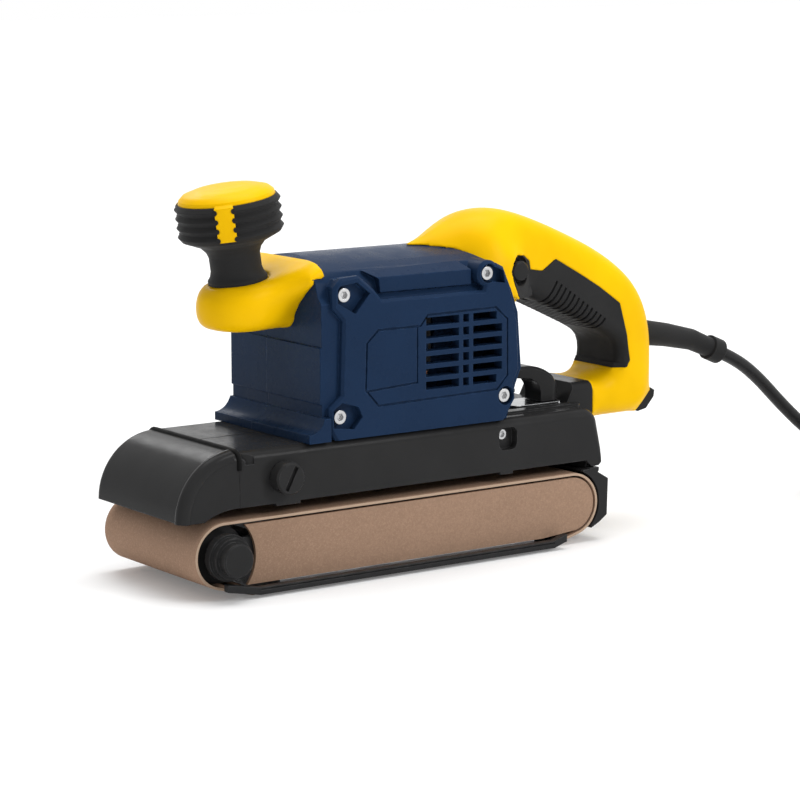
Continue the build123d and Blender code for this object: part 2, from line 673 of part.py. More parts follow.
# Front hood over the front roller, with a tongue under the deck
hood_rear_x = seam_x - seam_gap
hood_arch_x = front_x - 9.0
hood_mid_x, hood_mid_z = hood_front_x + 8.0, deck_z - 8.3
tongue_length = 9.0
tongue_thickness = 1.6
with BuildPart() as front_hood:
    with BuildSketch(across(housing_half_width)):
        with BuildLine():
            ThreePointArc(
                (hood_front_x, hood_bottom_z), (hood_mid_x, hood_mid_z), (hood_rear_x, deck_z)
            )
            Line((hood_rear_x, deck_z), (hood_rear_x, skirt_z))
            ThreePointArc(
                (hood_rear_x, skirt_z), (front_x, skirt_z - 0.6), (hood_arch_x, hood_bottom_z)
            )
            Line((hood_arch_x, hood_bottom_z), (hood_front_x, hood_bottom_z))
        make_face()
    extrude(amount=2 * housing_half_width)
    hood_crest = front_hood.faces().filter_by(Axis.Y).edges().filter_by(GeomType.CIRCLE)
    fillet(hood_crest.filter_by(lambda e: e.center().Z > skirt_z + 4), shoulder_radius)
    with BuildSketch(across(inner_half_width)):
        with BuildLine():
            ThreePointArc(
                (hood_front_x + housing_wall, hood_bottom_z - 1),
                (hood_mid_x + 0.7 * housing_wall, hood_mid_z - 0.7 * housing_wall),
                (hood_rear_x + 1, deck_underside),
            )
            Polyline(
                (hood_rear_x + 1, deck_underside),
                (hood_rear_x + 1, hood_bottom_z - 1),
                (hood_front_x + housing_wall, hood_bottom_z - 1),
            )
        make_face()
    extrude(amount=2 * inner_half_width, mode=Mode.SUBTRACT)
    block(
        (hood_rear_x - 6, seam_x + tongue_length),
        (-inner_half_width + 3, inner_half_width - 3),
        (deck_underside - tongue_thickness, deck_underside),
    )
front_hood.part.label = "front_hood"
export_step(front_hood.part, "parts/front_hood.step")

# Skirt screw in the notch on the near side
screw_head_radius, screw_head_height = 2.3, 1.8
with BuildPart() as skirt_screw:
    head_y = -housing_half_width + notch_depth
    bar(screw_head_radius, head_y - screw_head_height, head_y, screw_notch_x, screw_notch_z)
    bar(1.6, head_y, head_y + 6, screw_notch_x, screw_notch_z)
    with BuildSketch(across(head_y - screw_head_height)):
        with Locations((screw_notch_x, screw_notch_z)):
            RegularPolygon(1.4, 6)
    extrude(amount=-1, mode=Mode.SUBTRACT)
skirt_screw.part.label = "skirt_screw"
export_step(skirt_screw.part, "parts/skirt_screw.step")

# Tracking knob with its coin slot, and the screw that pushes on the carrier's tail
track_knob_radius, track_knob_length = 7.0, 6.2
knob_inner_y = -housing_half_width - running_gap
screw_near_y = knob_inner_y - track_knob_length + 2.5
with BuildPart() as tracking_knob:
    bar(track_knob_radius, knob_inner_y - track_knob_length, knob_inner_y, tracking_x, tracking_z)
    knob_face = tracking_knob.faces().sort_by(Axis.Y)[0]
    chamfer(knob_face.edges(), 0.8)
    with BuildSketch(across(knob_inner_y - track_knob_length)):
        with Locations((tracking_x, tracking_z)):
            Rectangle(11, 2, rotation=62)
    extrude(amount=-1.6, mode=Mode.SUBTRACT)
    bar(tracking_radius, screw_near_y, knob_inner_y, tracking_x, tracking_z, Mode.SUBTRACT)
tracking_knob.part.label = "tracking_knob"
export_step(tracking_knob.part, "parts/tracking_knob.step")

with BuildPart() as tracking_screw:
    bar(tracking_radius, screw_near_y, outrigger_y[0] - tip_gap, tracking_x, tracking_z)
tracking_screw.part.label = "tracking_screw"
export_step(tracking_screw.part, "parts/tracking_screw.step")

# Belt release lever: a humped lever on an upright shaft, with a crank under the deck
plate_thickness = 1.2
plate_z = deck_z + plate_thickness
lever_shaft_radius = 3.0
crank_low, crank_high = eye_high + 1.2, eye_high + 4.2
lever_tip_x = lever_x - 22
with BuildPart() as release_lever:
    with BuildSketch(across(0)):
        with BuildLine():
            Polyline(
                (lever_x - 6, plate_z + running_gap),
                (lever_x + 6, plate_z + running_gap),
                (lever_x + 5.5, plate_z + 6.5),
            )
            ThreePointArc(
                (lever_x + 5.5, plate_z + 6.5), (lever_x - 2, plate_z + 13.8), (lever_x - 12, plate_z + 17)
            )
            Polyline(
                (lever_x - 12, plate_z + 17),
                (lever_tip_x, plate_z + 17),
                (lever_tip_x, plate_z + 12.2),
                (lever_x - 12, plate_z + 11.4),
            )
            ThreePointArc(
                (lever_x - 12, plate_z + 11.4), (lever_x - 7.8, plate_z + 8.6), (lever_x - 6, plate_z + 4)
            )
            Line((lever_x - 6, plate_z + 4), (lever_x - 6, plate_z + running_gap))
        make_face()
    extrude(amount=30)
    with BuildSketch(Plane.XY.offset(plate_z)):
        with Locations((lever_x, lever_y)):
            Circle(6.2)
        with Locations((lever_tip_x + 5.5, lever_y)):
            Circle(5.5)
        make_hull()
    extrude(amount=30, mode=Mode.INTERSECT)
    lever_rim = release_lever.faces().sort_by(Axis.Z)[-1].edges()
    chamfer(lever_rim, 1.2)
    post(lever_shaft_radius, crank_low, plate_z + 2, lever_x, lever_y)
    with BuildSketch(Plane.XY.offset(crank_low)):
        with Locations((lever_x, lever_y)):
            Circle(4.5)
        with Locations((lever_x, rod_y)):
            Circle(3)
        make_hull()
    extrude(amount=crank_high - crank_low)
    post(crank_pin_radius, eye_low - 1, crank_low, lever_x, rod_y)
release_lever.part.label = "release_lever"
export_step(release_lever.part, "parts/release_lever.step")

# Steel wear plate under the lever
with BuildPart() as lever_plate:
    with BuildSketch(Plane.XY.offset(deck_z)):
        with Locations((lever_x - 8.75, lever_y)):
            RectangleRounded(27.5, 17, 3)
        with Locations((lever_x, lever_y)):
            Circle(lever_shaft_radius + bush_clearance, mode=Mode.SUBTRACT)
    extrude(amount=plate_thickness)
lever_plate.part.label = "lever_plate"
export_step(lever_plate.part, "parts/lever_plate.step")

# Dust shoe: a curved shroud behind the drum, hung from the base housing's rear wall
shoe_inner, shoe_rear_x = belt_radius + 1.2, housing_rear_x + 1.4
shoe_near_y, shoe_far_y = -belt_half, belt_half - 0.5
with BuildPart() as dust_shoe:
    with BuildSketch(across(shoe_far_y)):
        Polygon(
            (rear_x, axle_z),
            (rear_x + 6.3, axle_z + 15.1),
            (rear_x + 11.5, axle_z + 15.3),
            (shoe_rear_x, axle_z + 9.9),
            (shoe_rear_x - 0.5, axle_z - 6.8),
            (rear_x + 15.6, axle_z - 9.9),
            (rear_x + 11, axle_z - 12.1),
            align=None,
        )
        with Locations((rear_x, axle_z)):
            Circle(shoe_inner, mode=Mode.SUBTRACT)
        with BuildLine():
            Polyline(
                (rear_x + 9.5, axle_z + 14.5),
                (rear_lip_x - housing_wall - 2, lip_bottom_z + 6),
                (rear_lip_x - housing_wall, lip_bottom_z + 6),
                (rear_lip_x - housing_wall, lip_bottom_z - 2),
                (rear_x + 13, axle_z + 11.2),
                close=True,
            )
        make_face()
    extrude(amount=shoe_far_y - shoe_near_y)
    trim = inner_half_width - 0.5
    for trim_y in ((shoe_near_y, -trim), (trim, shoe_far_y)):
        block((rear_x, rear_lip_x), trim_y, (lip_bottom_z - 0.5, lip_bottom_z + 8), mode=Mode.SUBTRACT)
dust_shoe.part.label = "dust_shoe"
export_step(dust_shoe.part, "parts/dust_shoe.step")

# Motor: stator with its field windings, and the armature that turns in it
core_near_y, core_far_y = -12.0, 20.0
winding_far_y = core_far_y + 6
winding_near_y = core_near_y - 5
stator_flat = stator_radius - 3.2
with BuildPart() as stator:
    bar(stator_radius, core_near_y, core_far_y, motor_x, motor_z)
    flat_bounds = (motor_x - stator_flat, motor_x + stator_flat)
    block(
        flat_bounds,
        (core_near_y, core_far_y),
        (motor_z - stator_radius, motor_z + stator_radius),
        mode=Mode.INTERSECT,
    )
    bar(stator_bore, core_near_y, core_far_y, motor_x, motor_z, Mode.SUBTRACT)
stator.part.label = "stator"
export_step(stator.part, "parts/stator.step")

winding_outer, winding_inner = 25.0, 20.0
with BuildPart() as field_windings:
    for end_near, end_far in ((winding_near_y, core_near_y), (core_far_y, winding_far_y)):
        for start in (35, 215):
            with BuildSketch(across(end_far)):
                with BuildLine():
                    CenterArc((motor_x, motor_z), winding_outer, start, 110)
                    CenterArc((motor_x, motor_z), winding_inner, start, 110)
                    for turn in (radians(start), radians(start + 110)):
                        Line(
                            (motor_x + winding_inner * cos(turn), motor_z + winding_inner * sin(turn)),
                            (motor_x + winding_outer * cos(turn), motor_z + winding_outer * sin(turn)),
                        )
                make_face()
            extrude(amount=end_far - end_near)
field_windings.part.label = "field_windings"
export_step(field_windings.part, "parts/field_windings.step")

armature_slots = 10
end_turn_radius = 15.0
commutator_near_y, commutator_far_y, commutator_radius = -26.5, -18.0, 10.0
with BuildPart() as armature:
    with BuildSketch(across(core_far_y)):
        with Locations((motor_x, motor_z)):
            Circle(armature_radius)
            with PolarLocations(armature_radius - 1, armature_slots):
                Rectangle(4, 2.2, mode=Mode.SUBTRACT)
    extrude(amount=core_far_y - core_near_y)
    bar(end_turn_radius, winding_near_y, core_near_y, motor_x, motor_z)
    bar(end_turn_radius, core_far_y, winding_far_y, motor_x, motor_z)
    bar(shaft_radius, winding_near_y, winding_far_y, motor_x, motor_z, Mode.SUBTRACT)
armature.part.label = "armature"
export_step(armature.part, "parts/armature.step")

with BuildPart() as commutator:
    bar(commutator_radius, commutator_near_y, commutator_far_y, motor_x, motor_z)
    bar(shaft_radius, commutator_near_y, commutator_far_y, motor_x, motor_z, Mode.SUBTRACT)
commutator.part.label = "commutator"
export_step(commutator.part, "parts/commutator.step")

motor_bearing_radius, motor_bearing_width = 8.0, 4.0
near_bearing_y = near_wall_y
far_bearing_y = far_wall_y + 0.5
near_bearing_end, far_bearing_end = near_bearing_y + motor_bearing_width, far_bearing_y + motor_bearing_width
with BuildPart() as motor_shaft:
    bar(shaft_radius, near_bearing_y + 0.2, pulley_far, motor_x, motor_z)
motor_shaft.part.label = "motor_shaft"
export_step(motor_shaft.part, "parts/motor_shaft.step")

with BuildPart() as motor_bearings:
    for span in ((near_bearing_y, near_bearing_end), (far_bearing_y, far_bearing_end)):
        bar(motor_bearing_radius, *span, motor_x, motor_z)
        bar(shaft_radius + bearing_clearance, *span, motor_x, motor_z, Mode.SUBTRACT)
motor_bearings.part.label = "motor_bearings"
export_step(motor_bearings.part, "parts/motor_bearings.step")

# Cooling fan: a back plate with curved blades
fan_near_y, fan_far_y, fan_radius, fan_blades = winding_far_y + 1, winding_far_y + 6.5, 24.0, 11
with BuildPart() as cooling_fan:
    bar(fan_radius, fan_far_y - 1.2, fan_far_y, motor_x, motor_z)
    bar(6, fan_near_y, fan_far_y, motor_x, motor_z)
    with BuildSketch(across(fan_far_y - 1)):
        with Locations((motor_x, motor_z)):
            with PolarLocations(14.2, fan_blades):
                Rectangle(17, 1.2, rotation=28)
    extrude(amount=fan_far_y - 1 - fan_near_y)
    bar(shaft_radius, fan_near_y, fan_far_y, motor_x, motor_z, Mode.SUBTRACT)
cooling_fan.part.label = "cooling_fan"
export_step(cooling_fan.part, "parts/cooling_fan.step")

# Motor housing: one moulded envelope, cut into a near and a far half
crown_front_z = 129.0
cavity_floor_z = deck_z + body_wall
cavity_ceiling_z = motor_z + stator_radius
screw_points = ((-31.0, 122.7), (-33.2, 70.7), (44.6, 126.7), (54.3, 71.8))
column_radius, boss_radius = 5.0, 5.8
flange_x, flange_half_width, flange_top = -50.0, 37.8, 64.6
profile_points = (
    (body_front_x, deck_z),
    (body_front_x, crown_front_z),
    (body_front_x + 4.5, crown_z - 3),
    (body_front_x + 12, crown_z + 1),
    (38, crown_z + 1),
    (47, crown_z - 3),
    (56, crown_z - 9.5),
    (63, 108),
    (65, 83),
    (62, 76),
    (57, deck_z),
)
bar_front_y = -33.4
section_points = ((body_near_y, deck_z), (body_near_y, 119), (-31, 122), (-29.5, 127.5), (-26.5, 131.5))
with BuildPart() as top_bar:
    with BuildSketch(across(-24)):
        Polygon(
            (-16.5, 131.2), (-11.2, 127.8), (-10.4, 119), (37.6, 119), (37.6, 128.6), (34.5, 132), align=None
        )
    extrude(amount=-24 - bar_front_y)
    with BuildSketch(Plane.YZ):
        Polygon(
            (-24, 132.4), (-26.8, 132.2), (bar_front_y, 128.6), (bar_front_y, 122.2), (-24, 118), align=None
        )
    extrude(amount=60, both=True, mode=Mode.INTERSECT)

with BuildPart() as motor_body:
    with BuildSketch(across(body_far_y)):
        Polygon(*profile_points, align=None)
    extrude(amount=body_far_y - body_near_y)
    with BuildSketch(Plane.YZ):
        with BuildLine():
            Polyline(*section_points)
            ThreePointArc((-26.5, 131.5), (0, crown_z), (30, 131))
            Polyline((30, 131), (body_far_y, 126.5), (body_far_y, deck_z), section_points[0])
        make_face()
    extrude(amount=150, both=True, mode=Mode.INTERSECT)
    # Raised bezel on the near face, with ears round the screws
    with BuildSketch(across(body_near_y)):
        with Locations(screw_points[2]):
            Circle(boss_radius)
        Polygon(
            (-36, deck_z), (-39, 66), (-39, 75), (-33, 80), (-32, 112), (-37, 117), (-37, 126), (-33, 130),
            (-24, 130.5), (-16, 124), (-12, 119.5), (42, 119.5), (45, 128), (49, 131), (53, 129), (57, 120),
            (61, 104), (62, 83), (59, 77), (60, 70), (54, deck_z),
            align=None,
        )
    extrude(amount=bezel_thickness)
    bezel_rim = motor_body.faces().sort_by(Axis.Y)[0].edges()
    chamfer(bezel_rim.filter_by(lambda e: e.center().Z > deck_z + 1), 1.2)
    # Foot flange that sweeps up into the front face
    with BuildSketch(across(flange_half_width)):
        with BuildLine():
            Polyline(
                (body_front_x, 71),
                (body_front_x + 3, 71),
                (body_front_x + 3, deck_z),
                (flange_x, deck_z),
                (flange_x, flange_top),
            )
            ThreePointArc((flange_x, flange_top), (body_front_x - 2.9, flange_top + 2), (body_front_x, 71))
        make_face()
    extrude(amount=2 * flange_half_width)
    # Ears reach back past the body's slanted shoulder
    with BuildSketch(across(-24)):
        Polygon((-36, 117), (-36, 126), (-33, 129), (-24, 129.5), (-17, 124), (-14, 119), align=None)
        Polygon((42, 118), (45, 127), (49, 130), (52.5, 128.5), (56, 120), align=None)
        with Locations(screw_points[2]):
            Circle(boss_radius)
    extrude(amount=-24 - body_near_y)
    # Bar along the shoulder between the upper screws
    add(top_bar.part)
    # Panel line round the grille
    with BuildSketch(across(bezel_y)):
        Polygon(
            (-14.4, 107.1), (-20.6, 101.6), (-21.2, 81), (-14.4, 73.5), (49.5, 74.7), (55.5, 80.8),
            (55.3, 106.2), (48.7, 112), (11.4, 111.5), (7.7, 107),
            align=None,
        )
        offset(amount=-0.9, kind=Kind.INTERSECTION, mode=Mode.SUBTRACT)
        Polygon((5.8, 82.2), (6.6, 82.2), (6.6, 107.2), (5.8, 107.2), align=None)
        Polygon((-21.0, 80.2), (6.6, 81.8), (6.6, 82.6), (-21.0, 81.0), align=None)
    extrude(amount=-0.8, mode=Mode.SUBTRACT)
    # Screw pockets
    with BuildSketch(across(bezel_y)):
        Polygon(
            (-35, 125.2), (-33.6, 126.9), (-25, 127.8), (-18.5, 122.8), (-26, 114.5), (-35, 119.5), align=None
        )
        Polygon((-37.4, 66.5), (-37.4, 74), (-33, 77), (-24.5, 74.5), (-22.5, 70), (-27, 65), align=None)
        Polygon((46.5, 123), (44, 129), (48.6, 129.2), (52.5, 127.5), (53.5, 122), align=None)
        with Locations(screw_points[2], screw_points[3]):
            Circle(4.2)
    extrude(amount=-3.8, mode=Mode.SUBTRACT)
    # Steps across the front face
    for step_low, step_high in ((71, 76.5), (100.7, crown_front_z)):
        block(
            (body_front_x - 1, body_front_x + 0.8),
            (body_near_y - 1, body_far_y + 1),
            (step_low, step_high),
            mode=Mode.SUBTRACT,
        )

# Hollow of the motor housing, less the columns for the screws
with BuildSketch() as cavity_outline:
    Polygon(
        (body_front_x + body_wall, cavity_floor_z),
        (body_front_x + body_wall, cavity_ceiling_z - 3),
        (body_front_x + body_wall + 3, cavity_ceiling_z),
        (50, cavity_ceiling_z),
        (59, 106),
        (61.5, 84),
        (58.5, 76),
        (54, cavity_floor_z),
        align=None,
    )
    with Locations(*screw_points):
        Circle(column_radius, mode=Mode.SUBTRACT)

with BuildPart() as cavity:
    with BuildSketch(across(far_wall_y)):
        add(cavity_outline.sketch)
    extrude(amount=far_wall_y - near_wall_y)
    with BuildSketch(Plane.YZ):
        Polygon(
            (near_wall_y, cavity_floor_z),
            (near_wall_y, 118),
            (-28, cavity_ceiling_z),
            (27, cavity_ceiling_z),
            (far_wall_y, cavity_ceiling_z - 3),
            (far_wall_y, cavity_floor_z),
            align=None,
        )
    extrude(amount=150, both=True, mode=Mode.INTERSECT)

# Grille: three columns of slots in six rows
grille_columns = ((10.8, 28.5), (30.7, 33.9), (36.1, 52.0))
grille_bottom_z, grille_pitch, slot_height, grille_rows = 80.2, 5.59, 3.5, 6
baffle_thickness = 2.5
near_baffle_y, far_baffle_y = -10.0, 14.0
bearing_wall = 2.0
with BuildPart() as motor_housing_left:
    add(motor_body.part)
    split(bisect_by=Plane.XZ.offset(-parting_y), keep=Keep.TOP)
    add(cavity.part, mode=Mode.SUBTRACT)
    with BuildSketch(across(near_baffle_y + baffle_thickness)):
        add(cavity_outline.sketch)
        with Locations((motor_x, motor_z)):
            Circle(stator_radius, mode=Mode.SUBTRACT)
    extrude(amount=baffle_thickness)
    with BuildSketch(across(bezel_y)):
        for column_low, column_high in grille_columns:
            for row in range(grille_rows):
                trim_end = 3.0 if row in (0, grille_rows - 1) and column_high > 50 else 0.0
                with Locations(
                    ((column_low + column_high - trim_end) / 2, grille_bottom_z + row * grille_pitch)
                ):
                    Rectangle(column_high - column_low - trim_end, slot_height)
    extrude(amount=bezel_y - near_wall_y, mode=Mode.SUBTRACT)
    bar(motor_bearing_radius + bearing_wall, near_wall_y, near_bearing_end, motor_x, motor_z)
    bar(motor_bearing_radius, near_bearing_y, near_bearing_end, motor_x, motor_z, Mode.SUBTRACT)
    for screw_x, screw_z in screw_points:
        bar(1.9, bezel_y, parting_y, screw_x, screw_z, Mode.SUBTRACT)
motor_housing_left.part.label = "motor_housing_left"
export_step(motor_housing_left.part, "parts/motor_housing_left.step")

exhaust_slots, exhaust_pitch = 5, 6.0
screw_reach = 12.0
with BuildPart() as motor_housing_right:
    add(motor_body.part)
    split(bisect_by=Plane.XZ.offset(-parting_y), keep=Keep.BOTTOM)
    add(cavity.part, mode=Mode.SUBTRACT)
    with BuildSketch(across(far_baffle_y + baffle_thickness)):
        add(cavity_outline.sketch)
        with Locations((motor_x, motor_z)):
            Circle(stator_radius, mode=Mode.SUBTRACT)
    extrude(amount=baffle_thickness)
    bar(motor_bearing_radius + bearing_wall, far_wall_y, far_bearing_end, motor_x, motor_z)
    bar(motor_bearing_radius, far_bearing_y, far_bearing_end, motor_x, motor_z, Mode.SUBTRACT)
    bar(shaft_radius + 1, far_wall_y - 1, far_bearing_end, motor_x, motor_z, Mode.SUBTRACT)
    for screw_x, screw_z in screw_points:
        bar(1.7, parting_y, parting_y + screw_reach, screw_x, screw_z, Mode.SUBTRACT)
    for hole_x, hole_z in cover_holes:
        bar(cover_screw_radius, far_wall_y, body_far_y, hole_x, hole_z, Mode.SUBTRACT)
    with BuildSketch(across(body_far_y)):
        for slot in range(exhaust_slots):
            with Locations((-26, motor_z - 14 + slot * exhaust_pitch)):
                Rectangle(18, 3)
    extrude(amount=body_far_y - far_wall_y, mode=Mode.SUBTRACT)
motor_housing_right.part.label = "motor_housing_right"
export_step(motor_housing_right.part, "parts/motor_housing_right.step")

# Socket screws that hold the housing halves together
socket_head_radius, socket_head_height, socket_width = 3.0, 2.6, 1.7
head_seat_y = bezel_y + 3.8
with BuildPart() as housing_screws:
    for screw_x, screw_z in screw_points:
        bar(socket_head_radius, head_seat_y - socket_head_height, head_seat_y, screw_x, screw_z)
        bar(1.7, head_seat_y, parting_y + screw_reach, screw_x, screw_z)
        with BuildSketch(across(head_seat_y - socket_head_height)):
            with Locations((screw_x, screw_z)):
                RegularPolygon(socket_width, 6)
        extrude(amount=-1.5, mode=Mode.SUBTRACT)
housing_screws.part.label = "housing_screws"
export_step(housing_screws.part, "parts/housing_screws.step")

# Brushes above and below the commutator, in holders that stand on the housing's ceiling and floor
brush_y = (commutator_near_y + commutator_far_y) / 2
brush_length = 12.0
holder_wall = 1.8
brush_half_x, brush_half_y = 2.5, 3.2
holder_start = commutator_radius + 2
with BuildPart() as brush_holders:
    for low, high in ((motor_z + holder_start, cavity_ceiling_z), (cavity_floor_z, motor_z - holder_start)):
        block(
            (motor_x - brush_half_x - holder_wall, motor_x + brush_half_x + holder_wall),
            (brush_y - brush_half_y - holder_wall, brush_y + brush_half_y + holder_wall),
            (low, high),
        )
        block(
            (motor_x - brush_half_x, motor_x + brush_half_x),
            (brush_y - brush_half_y, brush_y + brush_half_y),
            (low, high),
            mode=Mode.SUBTRACT,
        )
brush_holders.part.label = "brush_holders"
export_step(brush_holders.part, "parts/brush_holders.step")

with BuildPart() as carbon_brushes:
    for side in (-1, 1):
        brush_ends = sorted(
            motor_z + side * (commutator_radius + reach) for reach in (running_gap, brush_length)
        )
        block(
            (motor_x - brush_half_x, motor_x + brush_half_x),
            (brush_y - brush_half_y, brush_y + brush_half_y),
            tuple(brush_ends),
        )
carbon_brushes.part.label = "carbon_brushes"
export_step(carbon_brushes.part, "parts/carbon_brushes.step")

# Drive cover over the toothed belt, cut away round the belt frame, with its screws
cover_low_y = frame_outer_y + running_gap
with BuildPart() as drive_cover:
    with BuildSketch(across(cover_far_y)):
        with Locations((motor_x, motor_z)):
            Circle(cover_motor_radius)
        with Locations((rear_x, axle_z)):
            Circle(cover_drum_radius)
        make_hull()
    extrude(amount=cover_far_y - body_far_y)
    cover_rim = drive_cover.faces().sort_by(Axis.Y)[-1].edges()
    chamfer(cover_rim, 2)
    with BuildSketch(across(cover_far_y - cover_wall)):
        with Locations((motor_x, motor_z)):
            Circle(cover_motor_radius - cover_wall)
        with Locations((rear_x, axle_z)):
            Circle(cover_drum_radius - cover_wall)
        make_hull()
    extrude(amount=cover_far_y - cover_wall - body_far_y, mode=Mode.SUBTRACT)
    block(
        (frame_front_x - 40, frame_rear_x + 20),
        (body_far_y - 1, cover_low_y),
        (-5, frame_top + running_gap),
        mode=Mode.SUBTRACT,
    )
    for ear, seat_y in cover_ears:
        bar(ear_radius, seat_y, seat_y + ear_height, ear.X, ear.Y)
        bar(cover_screw_radius, seat_y, seat_y + ear_height, ear.X, ear.Y, Mode.SUBTRACT)
drive_cover.part.label = "drive_cover"
export_step(drive_cover.part, "parts/drive_cover.step")

with BuildPart() as drive_cover_screws:
    for ear, seat_y in cover_ears:
        bar(2.7, seat_y + ear_height, seat_y + ear_height + 2, ear.X, ear.Y)
        bar(cover_screw_radius, seat_y - cover_screw_reach, seat_y + ear_height, ear.X, ear.Y)
        with BuildSketch(across(seat_y + ear_height + 2)):
            with Locations((ear.X, ear.Y)):
                RegularPolygon(socket_width, 6)
        extrude(amount=1.2, mode=Mode.SUBTRACT)
drive_cover_screws.part.label = "drive_cover_screws"
export_step(drive_cover_screws.part, "parts/drive_cover_screws.step")

round_facets = 3


def rounded_outline(half_low, half_high, low, high, low_round, high_round):
    """Corners of a section that is wider at one end, with each round drawn as a few straight facets."""
    outline = []
    for x, y, radius, start in (
        (half_low - low_round, low + low_round, low_round, -90),
        (half_high - high_round, high - high_round, high_round, 0),
        (high_round - half_high, high - high_round, high_round, 90),
        (low_round - half_low, low + low_round, low_round, 180),
    ):
        for facet in range(round_facets + 1):
            turn = radians(start + 90 * facet / round_facets)
            outline.append((x + radius * cos(turn), y + radius * sin(turn)))
    return outline


# Nose bracket: a round pad under the knob that flares back to the housing's shoulders
lean = radians(knob_lean)
knob_base = Vector(knob_x, 0, knob_z)
knob_up = Vector(-sin(lean), 0, cos(lean))
knob_axis = Axis(knob_base, knob_up)
bolt_radius, bolt_depth = 4.0, 14.0
flange_radius, seat_margin, seat_height = 12.8, 0.9, 12.0
nose_rim, nose_edge = 7.0, 6.5
nose_tips = (18.2, 17.0, 14.5, 10.5, 5.5, 0.0)
nose_flares = (
    (-55.5, 17.0, 18.4, 0.2),
    (-50.5, 15.6, 20.8, 0.8),
    (-46.5, 14.7, 24.6, 1.9),
    (-42.5, 14.0, 28.6, 3.2),
    (-39.0, 13.6, 28.8, 4.6),
    (-36.0, 13.4, 28.6, 5.6),
)


def nose_outline(half_low, half_high, low, high):
    """Corners of a section through the nose: rounded edges, and flanks that hollow towards a wider top."""
    corner = min(nose_edge, 0.8 * min(half_low, half_high), 0.45 * (high - low))
    flank = []
    for facet in range(round_facets + 1):
        turn = radians(90 * facet / round_facets - 90)
        flank.append((half_low - corner + corner * cos(turn), low + corner + corner * sin(turn)))
    for step in (1 / 3, 2 / 3):
        flank.append(
            (half_low + (half_high - half_low) * step**1.3, low + corner + (high - low - 2 * corner) * step)
        )
    for facet in range(round_facets + 1):
        turn = radians(90 * facet / round_facets)
        flank.append((half_high - corner + corner * cos(turn), high - corner + corner * sin(turn)))
    return flank + [(-y, z) for y, z in reversed(flank)]


nose_sections = []
for reach in nose_tips:
    half = sqrt(nose_radius**2 - reach**2)
    draw_in = nose_rim - sqrt(nose_rim**2 - max(0, nose_rim - nose_radius + reach)**2)
    nose_sections.append((knob_x - reach, half, half, draw_in, -draw_in))
nose_sections += [(x, low, high, 0, rise) for x, low, high, rise in nose_flares]


def knob_plane(turn):
    """Plane through the knob's axis, turned from the rear, with its height along the axis."""
    away = Vector(cos(lean), 0, sin(lean)) * cos(radians(turn)) + Vector(0, 1, 0) * sin(radians(turn))
    return Plane(knob_base, x_dir=away, z_dir=away.cross(knob_up))


with BuildPart() as nose_bracket:
    for section_x, low_half, high_half, lift, rise in nose_sections:
        seat_z = knob_z + (section_x - knob_x) * tan(lean)
        with BuildSketch(Plane.YZ.offset(section_x)):
            Polygon(*nose_outline(low_half, high_half, nose_bottom_z + lift, seat_z + rise), align=None)
    loft(ruled=True)
    add(motor_body.part, mode=Mode.SUBTRACT)
    # Flat seat for the knob, and the bolt's hole
    with BuildSketch(Plane(origin=knob_base, z_dir=knob_up)):
        Circle(flange_radius + seat_margin)
    extrude(amount=seat_height, mode=Mode.SUBTRACT)
    with BuildSketch(Plane(origin=knob_base, z_dir=knob_up)):
        Circle(bolt_radius)
    extrude(amount=-bolt_depth, mode=Mode.SUBTRACT)
nose_bracket.part.label = "nose_bracket"
export_step(nose_bracket.part, "parts/nose_bracket.step")

# Front knob: a black grip with ribs round its head, and a cap whose two strips run down through the ribs
neck_radius = 11.0
rib_start, rib_pitch, ribs = 20.0, 3.95, 4
rib_root, rib_crest = 21.3, 22.7
rib_end = rib_start + ribs * rib_pitch
cap_radius, cap_rise = 20.2, 5.2
strip_inner, strip_outer, strip_arc, strip_turn = 19.4, 22.2, 21.0, 54.0
peg_radius = 1.1
bolt_head_radius, bolt_head_height = 6.5, 5.0
strip_starts = [180 + side * strip_turn - strip_arc / 2 for side in (-1, 1)]
# Pegs that notch the strips' edges at each rib
with BuildPart() as strip_pegs:
    for strip_edge in strip_starts + [start + strip_arc for start in strip_starts]:
        away = knob_plane(strip_edge).x_dir
        for rib in range(ribs):
            peg_height = rib_start + (rib + 0.5) * rib_pitch
            peg_base = knob_base + knob_up * peg_height + away * (strip_inner - 0.6)
            with BuildSketch(Plane(peg_base, z_dir=away)):
                Circle(peg_radius)
            extrude(amount=rib_crest - 0.3 - strip_inner + 0.6)

